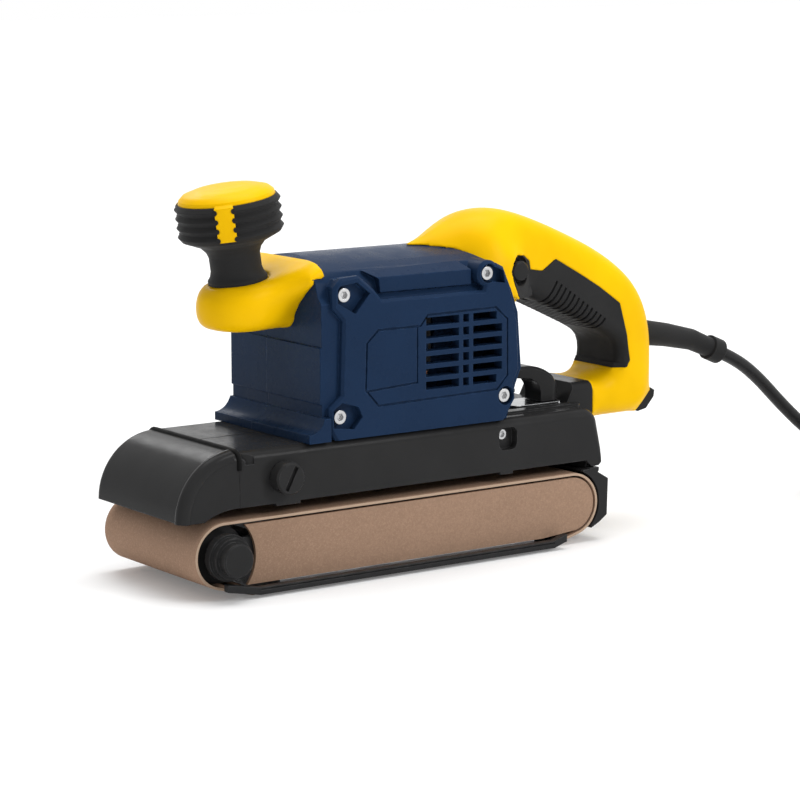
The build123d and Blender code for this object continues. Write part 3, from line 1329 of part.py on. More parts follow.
with BuildPart() as knob_grip:
    with BuildSketch(knob_plane(0)):
        with BuildLine():
            Polyline(
                (0, rib_end),
                (0, 0),
                (flange_radius, 0),
                (flange_radius, 1.5),
                (neck_radius + 0.6, 3.2),
                (neck_radius, 5.5),
                (neck_radius, 11.5),
                (neck_radius + 0.9, 14),
                (neck_radius + 3.2, 16.6),
                (rib_root - 3, 18.6),
                (rib_root, rib_start),
            )
            for rib in range(ribs):
                rib_low = rib_start + rib * rib_pitch
                Polyline(
                    (rib_root, rib_low), (rib_crest, rib_low + rib_pitch / 2), (rib_root, rib_low + rib_pitch)
                )
            Line((rib_root, rib_end), (0, rib_end))
        make_face()
    revolve(axis=knob_axis)
    for strip_start in strip_starts:
        with BuildSketch(knob_plane(strip_start)):
            with BuildLine():
                Polyline(
                    (strip_inner, rib_start + 1),
                    (rib_crest + 1, rib_start + 1),
                    (rib_crest + 1, rib_end),
                    (strip_inner, rib_end),
                    close=True,
                )
            make_face()
        revolve(axis=knob_axis, revolution_arc=strip_arc, mode=Mode.SUBTRACT)
    add(strip_pegs.part)
    with BuildSketch(Plane(origin=knob_base, z_dir=knob_up)):
        Circle(bolt_radius)
    extrude(amount=rib_end, mode=Mode.SUBTRACT)
    with BuildSketch(Plane(origin=knob_base + knob_up * (rib_end - bolt_head_height), z_dir=knob_up)):
        Circle(bolt_head_radius)
    extrude(amount=bolt_head_height, mode=Mode.SUBTRACT)
knob_grip.part.label = "knob_grip"
export_step(knob_grip.part, "parts/knob_grip.step")

with BuildPart() as knob_cap:
    with BuildSketch(knob_plane(0)):
        with BuildLine():
            Polyline(
                (0, rib_end),
                (cap_radius + 0.6, rib_end),
                (cap_radius + 0.2, rib_end + 1.6),
                (cap_radius - 1.6, rib_end + 0.62 * cap_rise),
                (cap_radius - 6, rib_end + 0.88 * cap_rise),
                (cap_radius - 12, rib_end + cap_rise),
                (0, rib_end + cap_rise),
                close=True,
            )
        make_face()
    revolve(axis=knob_axis)
    for strip_start in strip_starts:
        with BuildSketch(knob_plane(strip_start)):
            with BuildLine():
                Polyline(
                    (strip_inner, rib_start + 1),
                    (strip_outer, rib_start + 1),
                    (strip_outer, rib_end - 0.5),
                    (cap_radius + 0.4, rib_end + 0.8),
                    (strip_inner, rib_end + 0.8),
                    close=True,
                )
            make_face()
        revolve(axis=knob_axis, revolution_arc=strip_arc)
    add(strip_pegs.part, mode=Mode.SUBTRACT)
knob_cap.part.label = "knob_cap"
export_step(knob_cap.part, "parts/knob_cap.step")

with BuildPart() as knob_bolt:
    with BuildSketch(Plane(origin=knob_base - knob_up * bolt_depth, z_dir=knob_up)):
        Circle(bolt_radius)
    extrude(amount=bolt_depth + rib_end - bolt_head_height)
    with BuildSketch(Plane(origin=knob_base + knob_up * (rib_end - bolt_head_height), z_dir=knob_up)):
        RegularPolygon(bolt_head_radius, 6)
    extrude(amount=bolt_head_height - 0.4)
knob_bolt.part.label = "knob_bolt"
export_step(knob_bolt.part, "parts/knob_bolt.step")

# Cord guard: a tapered sleeve that leaves the handle, with a collar at its tip
guard_stations = (
    (handle_rear_x - 9.0, 87.4, 6.2),
    (handle_rear_x + 2.0, 86.8, 6.1),
    (handle_rear_x + 18.0, 84.2, 5.6),
    (handle_rear_x + 34.0, 80.6, 5.1),
    (handle_rear_x + 46.5, 75.4, 4.7),
)
collar_radius, collar_length, guard_sides = 6.0, 5.6, 24
guard_headings = [
    Vector(after[0] - before[0], 0, after[1] - before[1]).normalized()
    for before, after in zip(
        guard_stations[:1] + guard_stations[:-1], guard_stations[1:] + guard_stations[-1:]
    )
]
guard_tip = Vector(guard_stations[-1][0], 0, guard_stations[-1][1])
with BuildPart() as cord_guard:
    for (guard_x, guard_z, guard_radius), heading in zip(guard_stations, guard_headings):
        with BuildSketch(Plane(origin=(guard_x, 0, guard_z), x_dir=(0, 1, 0), z_dir=heading)):
            RegularPolygon(guard_radius, guard_sides)
    loft(ruled=True)
    collar_start = guard_tip - guard_headings[-1] * 1.5
    with BuildSketch(Plane(origin=collar_start, x_dir=(0, 1, 0), z_dir=guard_headings[-1])):
        Circle(collar_radius)
    extrude(amount=collar_length + 1.5)
cord_guard.part.label = "cord_guard"
export_step(cord_guard.part, "parts/cord_guard.step")
cord_exit = guard_tip + guard_headings[-1] * collar_length
print("cord exit", cord_exit)

# Handle: a rounded bar lofted along the grip, a saddle over the motor housing and a foot on the riser;
# what lies behind the trigger is placed from the handle's rear end
bar_stations = (
    ((48, 145.5), (52, 114.0)),
    ((60, 150.2), (62, 112.4)),
    ((74, 151.2), (72, 112.2)),
    ((handle_rear_x - 68, 145.7), (handle_rear_x - 76, 110.6)),
    ((handle_rear_x - 48, 137.4), (handle_rear_x - 59, 103.5)),
    ((handle_rear_x - 29, 128.0), (handle_rear_x - 42, 95.7)),
    ((handle_rear_x - 12, 115.3), (handle_rear_x - 31.0, 90.3)),
    ((handle_rear_x - 3, 100.5), (handle_rear_x - 25.6, 85.8)),
    ((handle_rear_x, 84.5), (handle_rear_x - 24.3, 79.5)),
    ((handle_rear_x, 68.0), (handle_rear_x - 25.4, 73.5)),
    ((handle_rear_x, 62.0), (handle_rear_x - 26.6, 67.2)),
)
outer_round, inner_round, foot_round = 10.0, 6.0, 4.0


def between(before, start, end, after):
    """Point halfway from start to end on the smooth curve through four points."""
    return tuple((9 * (s + e) - b - a) / 16 for b, s, e, a in zip(before, start, end, after))


bar_ends = []
for edge in ([outer for outer, inner in bar_stations], [inner for outer, inner in bar_stations]):
    padded = edge[:1] + edge + edge[-1:]
    finer = []
    for place in range(len(edge) - 1):
        finer += [edge[place], between(*padded[place:place + 4])]
    bar_ends.append(finer + edge[-1:])
rib_depth = 0.9
with BuildPart() as handle_bar:
    for outer_end, inner_end in zip(*bar_ends):
        outer, inner = Vector(outer_end[0], 0, outer_end[1]), Vector(inner_end[0], 0, inner_end[1])
        facing = Vector(0, 1, 0).cross(outer - inner)
        half = (outer - inner).length / 2
        middle = (outer + inner) / 2
        half_width = handle_half_width * min(1, 0.62 + 0.38 * (middle.X - 48) / 24)
        with BuildSketch(Plane(middle, x_dir=(0, 1, 0), z_dir=facing)):
            Polygon(
                *rounded_outline(half_width, half_width, -half, half, inner_round, outer_round), align=None
            )
    loft(ruled=True)

with BuildPart() as grip_core:
    for outer_end, inner_end in zip(*bar_ends):
        outer, inner = Vector(outer_end[0], 0, outer_end[1]), Vector(inner_end[0], 0, inner_end[1])
        facing = Vector(0, 1, 0).cross(outer - inner)
        half = (outer - inner).length / 2 - rib_depth
        core_width = handle_half_width - rib_depth
        with BuildSketch(Plane((outer + inner) / 2, x_dir=(0, 1, 0), z_dir=facing)):
            Polygon(
                *rounded_outline(
                    core_width, core_width, -half, half, inner_round - rib_depth, outer_round - rib_depth
                ),
                align=None,
            )
    loft(ruled=True)

saddle_base = 112.0
saddle_stations = (
    (27, 3, 138),
    (40, 15, 144.5),
    (52, 23.5, 149.6),
    (60, 28.5, 151.6),
    (68, 27, 151.9),
    (84, 17.5, 148.3),
)
saddle_facets = 4


def saddle_outline(half, top):
    """Points over the saddle from its near edge to its far edge: steep sides that round into a flat crown."""
    shoulder = saddle_base + 0.72 * (top - saddle_base)
    rise = []
    for facet in range(saddle_facets + 1):
        t = facet / saddle_facets
        s = 1 - t
        y = half * (s**3 + 3 * s * s * t + 1.65 * s * t * t)
        z = s**3 * saddle_base + 3 * s * s * t * shoulder + (3 * s * t * t + t**3) * top
        rise.append((y, z))
    return [(-y, z) for y, z in rise] + rise[-2::-1]


with BuildPart() as saddle:
    for saddle_x, half, top in saddle_stations:
        with BuildSketch(Plane.YZ.offset(saddle_x)):
            Polygon(*saddle_outline(half, top), align=None)
    loft(ruled=True)

chamfer_low, chamfer_high = (handle_rear_x - 10.5, handle_bottom_z), (handle_rear_x, 62.0)
throat = (riser_rear_x + 6.5, riser_top_z)
throat_end = (handle_rear_x - 25.1, 76.5)
with BuildPart() as handle_foot:
    with BuildSketch(across(handle_half_width)):
        with BuildLine():
            Polyline(
                (handle_rear_x, 72),
                chamfer_high,
                chamfer_low,
                (riser_rear_x, handle_bottom_z),
                (riser_rear_x, riser_top_z),
                throat,
            )
            ThreePointArc(throat, (handle_rear_x - 28.1, 72), throat_end)
            Line(throat_end, (handle_rear_x, 72))
        make_face()
    extrude(amount=2 * handle_half_width)
    foot_edges = handle_foot.faces().filter_by(Axis.Y).edges().filter_by(lambda e: e.center().Z < 73.5)
    chamfer(foot_edges.filter_by(lambda e: e.center().X > riser_rear_x + 2), foot_round)
    with BuildSketch(Plane.XY.offset(handle_bottom_z)):
        rear_corner = rounded_outline(
            handle_half_width, handle_half_width, riser_rear_x - 40, handle_rear_x, 1, outer_round
        )
        Polygon(*[(along, across_y) for across_y, along in rear_corner], align=None)
    extrude(amount=40, mode=Mode.INTERSECT)

# Trigger, lock button and switch places
trigger_pivot_x, trigger_pivot_z, trigger_half_width = 67.0, 116.0, 6.5
trigger_pin_radius, trigger_pin_half = 1.8, 9.2
lock_x, lock_z, lock_radius = 75.0, 123.8, 4.7
lock_near_y, lock_far_y, lock_travel = -21.0, -13.0, 3.0
switch_x, switch_half_y, switch_z = (70.0, 98.0), 9.0, (119.5, 131.0)
slot_half_y = trigger_half_width + 0.7

with BuildPart() as handle_blank:
    add(handle_bar.part)
    add(saddle.part)
    add(handle_foot.part)
    add(motor_body.part, mode=Mode.SUBTRACT)
    add(cord_guard.part, mode=Mode.SUBTRACT)
    # Trigger slot and switch pocket
    block((62, 92), (-slot_half_y, slot_half_y), (95, switch_z[0]), mode=Mode.SUBTRACT)
    block(switch_x, (-switch_half_y, switch_half_y), switch_z, mode=Mode.SUBTRACT)
    bar(trigger_pin_radius + bush_clearance, -trigger_pin_half - 0.3, trigger_pin_half + 0.3,
        trigger_pivot_x, trigger_pivot_z, Mode.SUBTRACT)
    # Round recess and bore for the lock button
    bar(lock_radius + 2.2, -40, lock_near_y + 3.5, lock_x - 1.5, lock_z + 0.4, Mode.SUBTRACT)
    bar(lock_radius + running_gap, -40, lock_far_y + lock_travel + running_gap, lock_x, lock_z, Mode.SUBTRACT)

# Lips of the handle either side of the trigger
lip_half_width = 12.0
with BuildPart() as trigger_lips:
    for lip_y in ((-lip_half_width, -slot_half_y), (slot_half_y, lip_half_width)):
        with BuildSketch(across(lip_y[1])):
            Polygon((65, 118), (67, 113.5), (78.5, 105.4), (82.5, 107.8), (80, 111.2), (80, 118), align=None)
        extrude(amount=lip_y[1] - lip_y[0])
    bar(trigger_pin_radius + bush_clearance, -trigger_pin_half - 0.3, trigger_pin_half + 0.3,
        trigger_pivot_x, trigger_pivot_z, Mode.SUBTRACT)

# Soft grip: a skin over both cheeks and the underside of the bar
skin_y = handle_half_width - grip_skin
with BuildPart() as grip_blank:
    add(handle_blank.part)
    with BuildSketch(across(40)):
        Polygon(
            (69.5, 114.6), (67.5, 119), (66, 124.5), (69, 128.8), (73.5, 131), (78.5, 130.3), (81.8, 127.9),
            (82.6, 123.8), (89.5, 122.6), (handle_rear_x - 62.9, 127.5), (handle_rear_x - 48.9, 119.8),
            (handle_rear_x - 37.1, 112.9), (handle_rear_x - 25.1, 104.6), (handle_rear_x - 20.6, 89.4),
            (handle_rear_x - 18.6, 77.5), (handle_rear_x - 20.4, 74.4), (handle_rear_x - 35, 74), (90, 95),
            (74, 108),
            align=None,
        )
    extrude(amount=80, mode=Mode.INTERSECT)
    with BuildSketch(across(skin_y)):
        Polygon(
            (60, 117), (91, 112.5), (handle_rear_x - 29, 94.2), (handle_rear_x - 21.6, 86),
            (handle_rear_x - 20.8, 79), (handle_rear_x - 21.5, 70), (handle_rear_x - 10, 70),
            (handle_rear_x - 10, 140), (60, 140),
            align=None,
        )
    extrude(amount=2 * skin_y, mode=Mode.SUBTRACT)
    add(trigger_lips.part, mode=Mode.SUBTRACT)

# Grooves that run down both cheeks and under the bar, as deep as the bar's skin is drawn in
rib_count, rib_width, rib_length = 12, 1.2, 24.0
rib_first, rib_last = Vector(handle_rear_x - 62, 117.5), Vector(handle_rear_x - 33.7, 98.4)
rib_fall = Vector(0, 0, -1).cross((rib_last - rib_first).normalized())
with BuildPart() as rib_cuts:
    with BuildSketch(across(handle_half_width + 2)):
        for rib in range(rib_count):
            place = rib_first + (rib_last - rib_first) * (rib / (rib_count - 1)) + rib_fall * (rib_length / 2)
            with Locations((place.X, place.Y)):
                Rectangle(rib_length, rib_width, rotation=degrees(atan2(rib_fall.Y, rib_fall.X)))
    extrude(amount=2 * handle_half_width + 4)
    add(grip_core.part, mode=Mode.SUBTRACT)

with BuildPart() as soft_grip:
    add(grip_blank.part)
    add(rib_cuts.part, mode=Mode.SUBTRACT)
soft_grip.part.label = "soft_grip"
export_step(soft_grip.part, "parts/soft_grip.step")

# Handle halves
with BuildPart() as handle_body:
    add(handle_blank.part)
    add(grip_blank.part, mode=Mode.SUBTRACT)
    add(trigger_lips.part)

with BuildPart() as handle_left:
    add(handle_body.part)
    split(bisect_by=Plane.XZ, keep=Keep.TOP)
handle_left.part.label = "handle_left"
export_step(handle_left.part, "parts/handle_left.step")

with BuildPart() as handle_right:
    add(handle_body.part)
    split(bisect_by=Plane.XZ, keep=Keep.BOTTOM)
handle_right.part.label = "handle_right"
export_step(handle_right.part, "parts/handle_right.step")

# Trigger with its pivot stubs
with BuildPart() as trigger:
    with BuildSketch(across(trigger_half_width)):
        with BuildLine():
            Polyline((64.8, 116), (66, 111.5), (72, 106), (77.5, 99.5))
            ThreePointArc((77.5, 99.5), (79.6, 98.5), (81.4, 99.6))
            ThreePointArc((81.4, 99.6), (82.3, 106), (78, 112))
            Polyline((78, 112), (72, 117), (67, 118.2), (64.8, 116))
        make_face()
    extrude(amount=2 * trigger_half_width)
    bar(trigger_pin_radius, -trigger_pin_half, trigger_pin_half, trigger_pivot_x, trigger_pivot_z)
trigger.part.label = "trigger"
export_step(trigger.part, "parts/trigger.step")

with BuildPart() as lock_button:
    bar(lock_radius, lock_near_y, lock_far_y, lock_x, lock_z)
    chamfer(lock_button.faces().sort_by(Axis.Y)[0].edges(), 0.8)
lock_button.part.label = "lock_button"
export_step(lock_button.part, "parts/lock_button.step")

with BuildPart() as switch_body:
    block(switch_x, (-switch_half_y, switch_half_y), switch_z)
    chamfer(switch_body.edges().filter_by(Axis.Y), 1.0)
switch_body.part.label = "switch_body"
export_step(switch_body.part, "parts/switch_body.step")

# Rear bumper on the handle's chamfered corner
with BuildPart() as rear_bumper:
    with BuildSketch(across(11)):
        chamfer_run = Vector(*chamfer_high) - Vector(*chamfer_low)
        low, high = Vector(*chamfer_low) + chamfer_run * 0.1, Vector(*chamfer_high)
        Polygon(
            (low.X, low.Y),
            (high.X, high.Y),
            (handle_rear_x + 2.4, 60.6),
            (handle_rear_x + 2, 57.6),
            (handle_rear_x - 2.6, 52.4),
            (handle_rear_x - 7.6, 51.4),
            align=None,
        )
    extrude(amount=22)
rear_bumper.part.label = "rear_bumper"
export_step(rear_bumper.part, "parts/rear_bumper.step")

# Power cord from the guard down to the floor, on straight runs and tangent arcs
cord_radius = cord_diameter / 2
cord_sides, coil_sides = 8, 6
coil_low_z = tie_thickness + cord_radius + 0.1
coil_high_z = coil_low_z + coil_pitch
coil_outer_radius = coil_inner_radius + lower_turns * coil_pitch
coil_start_x = coil_x + coil_outer_radius
first_run = 13.0
cord_lead = cord_exit + guard_headings[-1] * first_run
route = (
    (cord_exit.X, 0, cord_exit.Z),
    (cord_lead.X, 0, cord_lead.Z),
    (238.0, 0, 58.0),
    (251.5, 0, 45.5),
    (264.6, -1.6, 33.6),
    (276.0, -4.6, 24.2),
    (287.6, -8.8, 16.4),
    (299.2, -14.6, 10.9),
    (309.8, -22.2, 7.4),
    (318.9, -31.6, 5.4),
    (325.6, -42.2, 4.5),
    (coil_start_x, -53.0, coil_low_z),
    (coil_start_x, coil_y + cord_diameter, coil_low_z),
)
corners = [Vector(*point) for point in route]
runs = [after - before for before, after in zip(corners, corners[1:])]
bends = [
    0.45 * min(run.length, following.length) / tan(radians(run.get_angle(following)) / 2)
    for run, following in zip(runs, runs[1:])
]
print("cord runs", [round(run.length, 1) for run in runs])
print("cord bend radii", [round(bend, 1) for bend in bends])
with BuildPart() as power_cord:
    with BuildLine() as cord_line:
        FilletPolyline(*route, radius=bends)
    with BuildSketch(Plane(origin=corners[0], z_dir=runs[0])) as cord_face:
        RegularPolygon(cord_radius, cord_sides)
    sweep()
power_cord.part.label = "power_cord"
export_step(power_cord.part, "parts/power_cord.step")
cord_length = sum(edge.length for edge in cord_line.edges())
cord_ratio = power_cord.part.volume / (cord_face.sketch.area * cord_length)
print("cord tube length", round(cord_length, 1), "volume against section times length", round(cord_ratio, 5))

# Coil: one tube that spirals in on the floor, climbs in half a turn, spirals out again on top
# and runs straight on to the plug
tail_length = 22.0
spiral_turn = 2 * pi * lower_turns
coil_turn = spiral_turn + pi + 2 * pi * upper_turns


def coil_point(turn):
    """Centre of the coil's tube after turning this far round, clockwise seen from above."""
    step = coil_pitch / (2 * pi)
    past = turn - spiral_turn
    if past < 0:
        radius, height = coil_inner_radius - step * past, coil_low_z
    elif past < pi:
        radius = coil_inner_radius - step * sin(past)
        height = coil_low_z + coil_pitch * (1 - cos(past)) / 2
    else:
        radius, height = coil_inner_radius + step * (past - pi), coil_high_z
    return Vector(coil_x + radius * cos(turn), coil_y - radius * sin(turn), height)


def coil_heading(turn):
    """Direction of the coil's tube there."""
    nudge = 1e-4
    return (coil_point(turn + nudge) - coil_point(turn - nudge)).normalized()


quarter_turns = round(coil_turn / (pi / 2))
coil_turns = [pi / 2 * quarter for quarter in range(quarter_turns + 1)]
coil_points = [coil_point(turn) for turn in coil_turns]
coil_end = coil_points[-1]
entry, out = Vector(0, -1, 0), Vector(-1, 0, 0)
coil_headings = [entry] + [coil_heading(turn) for turn in coil_turns[1:-1]] + [out]
plug_entry = coil_end + out * tail_length
with BuildPart() as cord_coil:
    with BuildLine() as coil_line:
        Line(coil_points[0] - entry * cord_diameter, coil_points[0])
        trace_biarcs(coil_points, coil_headings)
        Line(coil_end, plug_entry)
    with BuildSketch(Plane(origin=coil_points[0] - entry * cord_diameter, z_dir=entry)):
        RegularPolygon(cord_radius, coil_sides)
    sweep()
cord_coil.part.label = "cord_coil"
export_step(cord_coil.part, "parts/cord_coil.step")
coil_length = sum(edge.length for edge in coil_line.edges())
print("coil length", round(coil_length, 1), "cord and coil together", round(cord_length + coil_length, 1))

coil_checks = [coil_point(coil_turn * step / 500) for step in range(501)]
least_gap = min(
    (one - other).length - cord_diameter
    for place, one in enumerate(coil_checks)
    for other in coil_checks[place + 40:]
)
print("least gap of the coil to itself", round(least_gap, 2))

# Tie round the coil's turns
tie_width, tie_gap = 9.0, 0.3
tie_inner = coil_inner_radius - coil_pitch / (2 * pi) - cord_radius - tie_gap
tie_outer = coil_inner_radius + (upper_turns - 0.5) * coil_pitch + cord_radius + tie_gap
tie_top = coil_high_z + cord_radius + tie_gap
with BuildPart() as coil_tie:
    block(
        (coil_x - tie_width / 2, coil_x + tie_width / 2),
        (coil_y + tie_inner - tie_thickness, coil_y + tie_outer + tie_thickness),
        (0, tie_top + tie_thickness),
    )
    fillet(coil_tie.edges().filter_by(Axis.X), 2.5)
    with BuildSketch(Plane.YZ.offset(coil_x - tie_width / 2)):
        with BuildLine():
            Polyline(
                (coil_y + tie_inner, tie_thickness),
                (coil_y + tie_outer, tie_thickness),
                (coil_y + tie_outer, tie_top),
                (coil_y + tie_inner, tie_top),
                close=True,
            )
        make_face()
    extrude(amount=tie_width, mode=Mode.SUBTRACT)
coil_tie.part.label = "coil_tie"
export_step(coil_tie.part, "parts/coil_tie.step")

# Plug with two flat blades, lying beside the coil
plug_half_width, plug_half_height = 12.0, plug_entry.Z - 0.2
relief_length, neck_length, plug_length = 8.0, 7.0, 24.0
neck_half, plug_round, relief_sides = 6.0, 5.4, 16
blade_width, blade_thickness, blade_length, blade_spacing = 6.3, 1.5, 16.0, 12.7


def plug_plane(along):
    """Plane square to the plug's axis, this far from the cord's end."""
    return Plane(origin=plug_entry + out * along, x_dir=(0, 1, 0), z_dir=out)


with BuildPart() as plug:
    with BuildSketch(plug_plane(0)):
        RegularPolygon(cord_radius + 1, relief_sides)
    with BuildSketch(plug_plane(relief_length)):
        RegularPolygon(cord_radius + 2, relief_sides)
    loft(ruled=True)
    for along, half_width, half_height in (
        (relief_length, neck_half, neck_half),
        (relief_length + neck_length, plug_half_width, plug_half_height),
        (relief_length + neck_length + plug_length, plug_half_width, plug_half_height),
    ):
        with BuildSketch(plug_plane(along)):
            Polygon(
                *rounded_outline(half_width, half_width, -half_height, half_height, plug_round, plug_round),
                align=None,
            )
    loft(ruled=True)
    with BuildSketch(plug_plane(relief_length + neck_length + plug_length)):
        with GridLocations(blade_spacing, 1, 2, 1):
            Rectangle(blade_thickness, blade_width)
    extrude(amount=blade_length)
plug.part.label = "plug"
export_step(plug.part, "parts/plug.step")
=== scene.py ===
"""Finishes, eased skins, power lead and stage for a packed belt sander, as a Blender add-on."""

import json
import math

import bmesh
import bpy
import numpy as np
from mathutils import Matrix, Vector
from mathutils.bvhtree import BVHTree


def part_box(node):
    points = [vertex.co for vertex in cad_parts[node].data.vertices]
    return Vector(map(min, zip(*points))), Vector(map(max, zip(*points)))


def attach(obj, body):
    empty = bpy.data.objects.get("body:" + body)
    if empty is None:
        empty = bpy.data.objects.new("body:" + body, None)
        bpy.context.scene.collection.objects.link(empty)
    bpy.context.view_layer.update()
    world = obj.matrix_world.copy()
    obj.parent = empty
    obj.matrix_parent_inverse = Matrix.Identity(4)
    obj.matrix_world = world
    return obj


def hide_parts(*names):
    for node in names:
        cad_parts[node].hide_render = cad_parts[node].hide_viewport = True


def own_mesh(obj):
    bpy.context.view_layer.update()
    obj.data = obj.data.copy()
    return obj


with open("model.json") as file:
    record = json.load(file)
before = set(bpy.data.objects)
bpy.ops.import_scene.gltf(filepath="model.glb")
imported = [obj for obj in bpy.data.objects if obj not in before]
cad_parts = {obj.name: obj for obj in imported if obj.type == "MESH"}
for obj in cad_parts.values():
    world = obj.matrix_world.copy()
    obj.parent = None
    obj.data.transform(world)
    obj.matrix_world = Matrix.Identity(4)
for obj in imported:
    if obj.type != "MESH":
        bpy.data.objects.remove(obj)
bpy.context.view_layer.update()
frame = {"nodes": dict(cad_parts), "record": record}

bl_info = {
    "name": "Belt sander finish",
    "version": (1, 0, 0),
    "blender": (4, 5, 0),
    "location": "View3D > Sidebar > Sander",
    "description": "Finishes, eased skins, power lead and stage for the packed belt sander",
    "category": "Object",
}

# The lead's control points from the guard to the floor, in metres, as the source of the part has them.
LEAD_ROUTE = (
    (0.21167, 0.0, 0.073249),
    (0.22367, 0.0, 0.068256),
    (0.2380, 0.0, 0.0580),
    (0.2515, 0.0, 0.0455),
    (0.2646, -0.0016, 0.0336),
    (0.2760, -0.0046, 0.0242),
    (0.2876, -0.0088, 0.0164),
    (0.2992, -0.0146, 0.0109),
    (0.3098, -0.0222, 0.0074),
    (0.3189, -0.0316, 0.0054),
    (0.3256, -0.0422, 0.0045),
    (0.32925, -0.0530, 0.0043),
    (0.32925, -0.0636, 0.0043),
)
# The hood's crest from its front edge to its joint with the base, as (x, z).
HOOD_CREST = ((-0.1120, 0.0334), (-0.1040, 0.0527), (-0.08415, 0.0610))
# The shoulders beside the crest: their distance from the middle and their round.
SHOULDER_Y = 0.0365
SHOULDER_RADIUS = 0.0045
# The rim on the near shoulder, how far it is sunk and set in, and how much of the crest it follows.
RIM_RADIUS = 0.0034
RIM_SINK = 0.0018
RIM_INSET = 0.0030
RIM_SHARE = 0.93
RIM_POINTS = 13
# The near-black bead in the hood's joint, a painted shadow of the joint, its fall at the sides, and the
# points that lead it over the top.
SEAM_SHADOW_RADIUS = 0.0012
SEAM_SHADOW_FALL = 0.0075
SEAM_SHADOW_RISE_SHARE = 0.4
SEAM_SHADOW_SHOULDER_STEPS = 4
SEAM_SHADOW_TOP_Y = 0.012
# The recess round the lock button, as (x, z, radius).
LOCK_RECESS = (0.0740, 0.1240, 0.0075)
HANDLE_HALVES = ("handle_left", "handle_right")
HANDLE_NEIGHBOURS = (
    "motor_housing_left", "motor_housing_right", "soft_grip", "trigger", "lock_button", "switch_body",
    "cord_guard", "base_housing", "rear_bumper",
)
NOSE_NEIGHBOURS = ("knob_grip", "motor_housing_left", "motor_housing_right")
# The grid of an eased skin in metres, its passes of averaging, and the share of its faces that stay.
NOSE_GRID = 0.0006
NOSE_PASSES = 120
HANDLE_GRID = 0.0007
HANDLE_PASSES = 300
SKIN_FACES_KEPT = 0.2
# How near a neighbour an eased skin is held, and from where it is free, in metres.
EASE_HELD = 0.0006
EASE_FREE = 0.0050
# The share of the way to the middle of the points round it that a free point moves in a pass.
EASE_STEP = 0.5
# Where the lock button's bore starts beside the handle, and the room round the button, in metres.
BORE_START = -0.040
BORE_ROOM = 0.0005
BORE_SIDES = 64
CUT_TOLERANCE = 1e-7
# A round bar: the order of its line, the steps between the line's points, and the steps round it.
LINE_ORDER = 3
LINE_STEPS = 6
BAR_STEPS = 6
COIL_POINTS_PER_TURN = 16
TAIL_POINTS = 3
# Facets that meet at less than this are shaded as one surface.
SMOOTH_LIMIT_DEG = 33.0
SKIN_LIMIT_DEG = 45.0
# Corners that fall on the same point of a grid of this many steps a metre are one.
GRID_PER_METRE = 2e6
TINY = 1e-18
# The round that the finishes show along edges, in metres.
PLASTIC_ROUND = 0.0007
RUBBER_ROUND = 0.0006
METAL_ROUND = 0.0004
ROUND_SAMPLES = 6
# The depth of the finishes' relief, in metres.
GRAIN_DEPTH = 0.0001
LINE_DEPTH = 0.00005
WIRE_DEPTH = 0.0002
# Core plates and wires: half the distance from one to the next, and the dark line beside a plate.
PLATE_HALF_PITCH = 0.0004
PLATE_LINE = 0.00015
WIRE_HALF_PITCH = 0.0004
WIRE_SLANT = 0.35
# How closely the lines on metal lie along X, Y and Z, in cycles a metre.
LINES_ALONG_X = (60.0, 2400.0, 2400.0)
LINES_ALONG_Y = (2400.0, 60.0, 2400.0)
LINES_ON_WIRE = (2400.0, 80.0, 2400.0)
LINES_ON_CASTING = (700.0, 700.0, 700.0)
# How closely the slow changes of tone lie, in cycles a metre.
PLASTIC_BLOTCH = 30.0
RUBBER_BLOTCH = 45.0
METAL_WEAR = 0.5
SURFACE_IOR = 1.5
WHITE = (1.0, 1.0, 1.0)
# The stage, in metres, with the camera's sensor in millimetres.
SENSOR_WIDTH = 36.0
NEAREST_SEEN = 0.01
FARTHEST_SEEN = 50.0
FLOOR_REACH = 6.0
FLOOR_ROUGHNESS = 0.9
FLOOR_SPECULAR = 0.1
LAMP_TARGET = (0.0, 0.0, 0.07)
TOP_LIGHT_PLACE = (0.15, 0.12, 1.2)
KEY_LAMP_PLACE = (0.60, -1.20, 0.85)
KEY_LAMP_SIZE = 0.5
RIM_LAMP_PLACE = (0.30, 1.25, 0.90)
RIM_LAMP_SIZE = 0.4


def colour(name, description, default):
    """A colour that the panel shows, linear as the shaders take it."""
    return bpy.props.FloatVectorProperty(
        name=name, description=description, subtype="COLOR", size=3, min=0.0, max=1.0, default=default
    )


def length(name, description, default):
    """A length in metres that the panel shows."""
    return bpy.props.FloatProperty(
        name=name, description=description, subtype="DISTANCE", unit="LENGTH", default=default,
        precision=5,
    )


def share(name, description, default):
    """A plain number from nought to one."""
    return bpy.props.FloatProperty(
        name=name, description=description, subtype="FACTOR", min=0.0, max=1.0, default=default
    )


def degrees(name, description, default):
    """An angle, given in degrees."""
    return bpy.props.FloatProperty(
        name=name, description=description, subtype="ANGLE", unit="ROTATION", default=math.radians(default)
    )


def number(name, description, default):
    """A plain number."""
    return bpy.props.FloatProperty(name=name, description=description, default=default, precision=4)


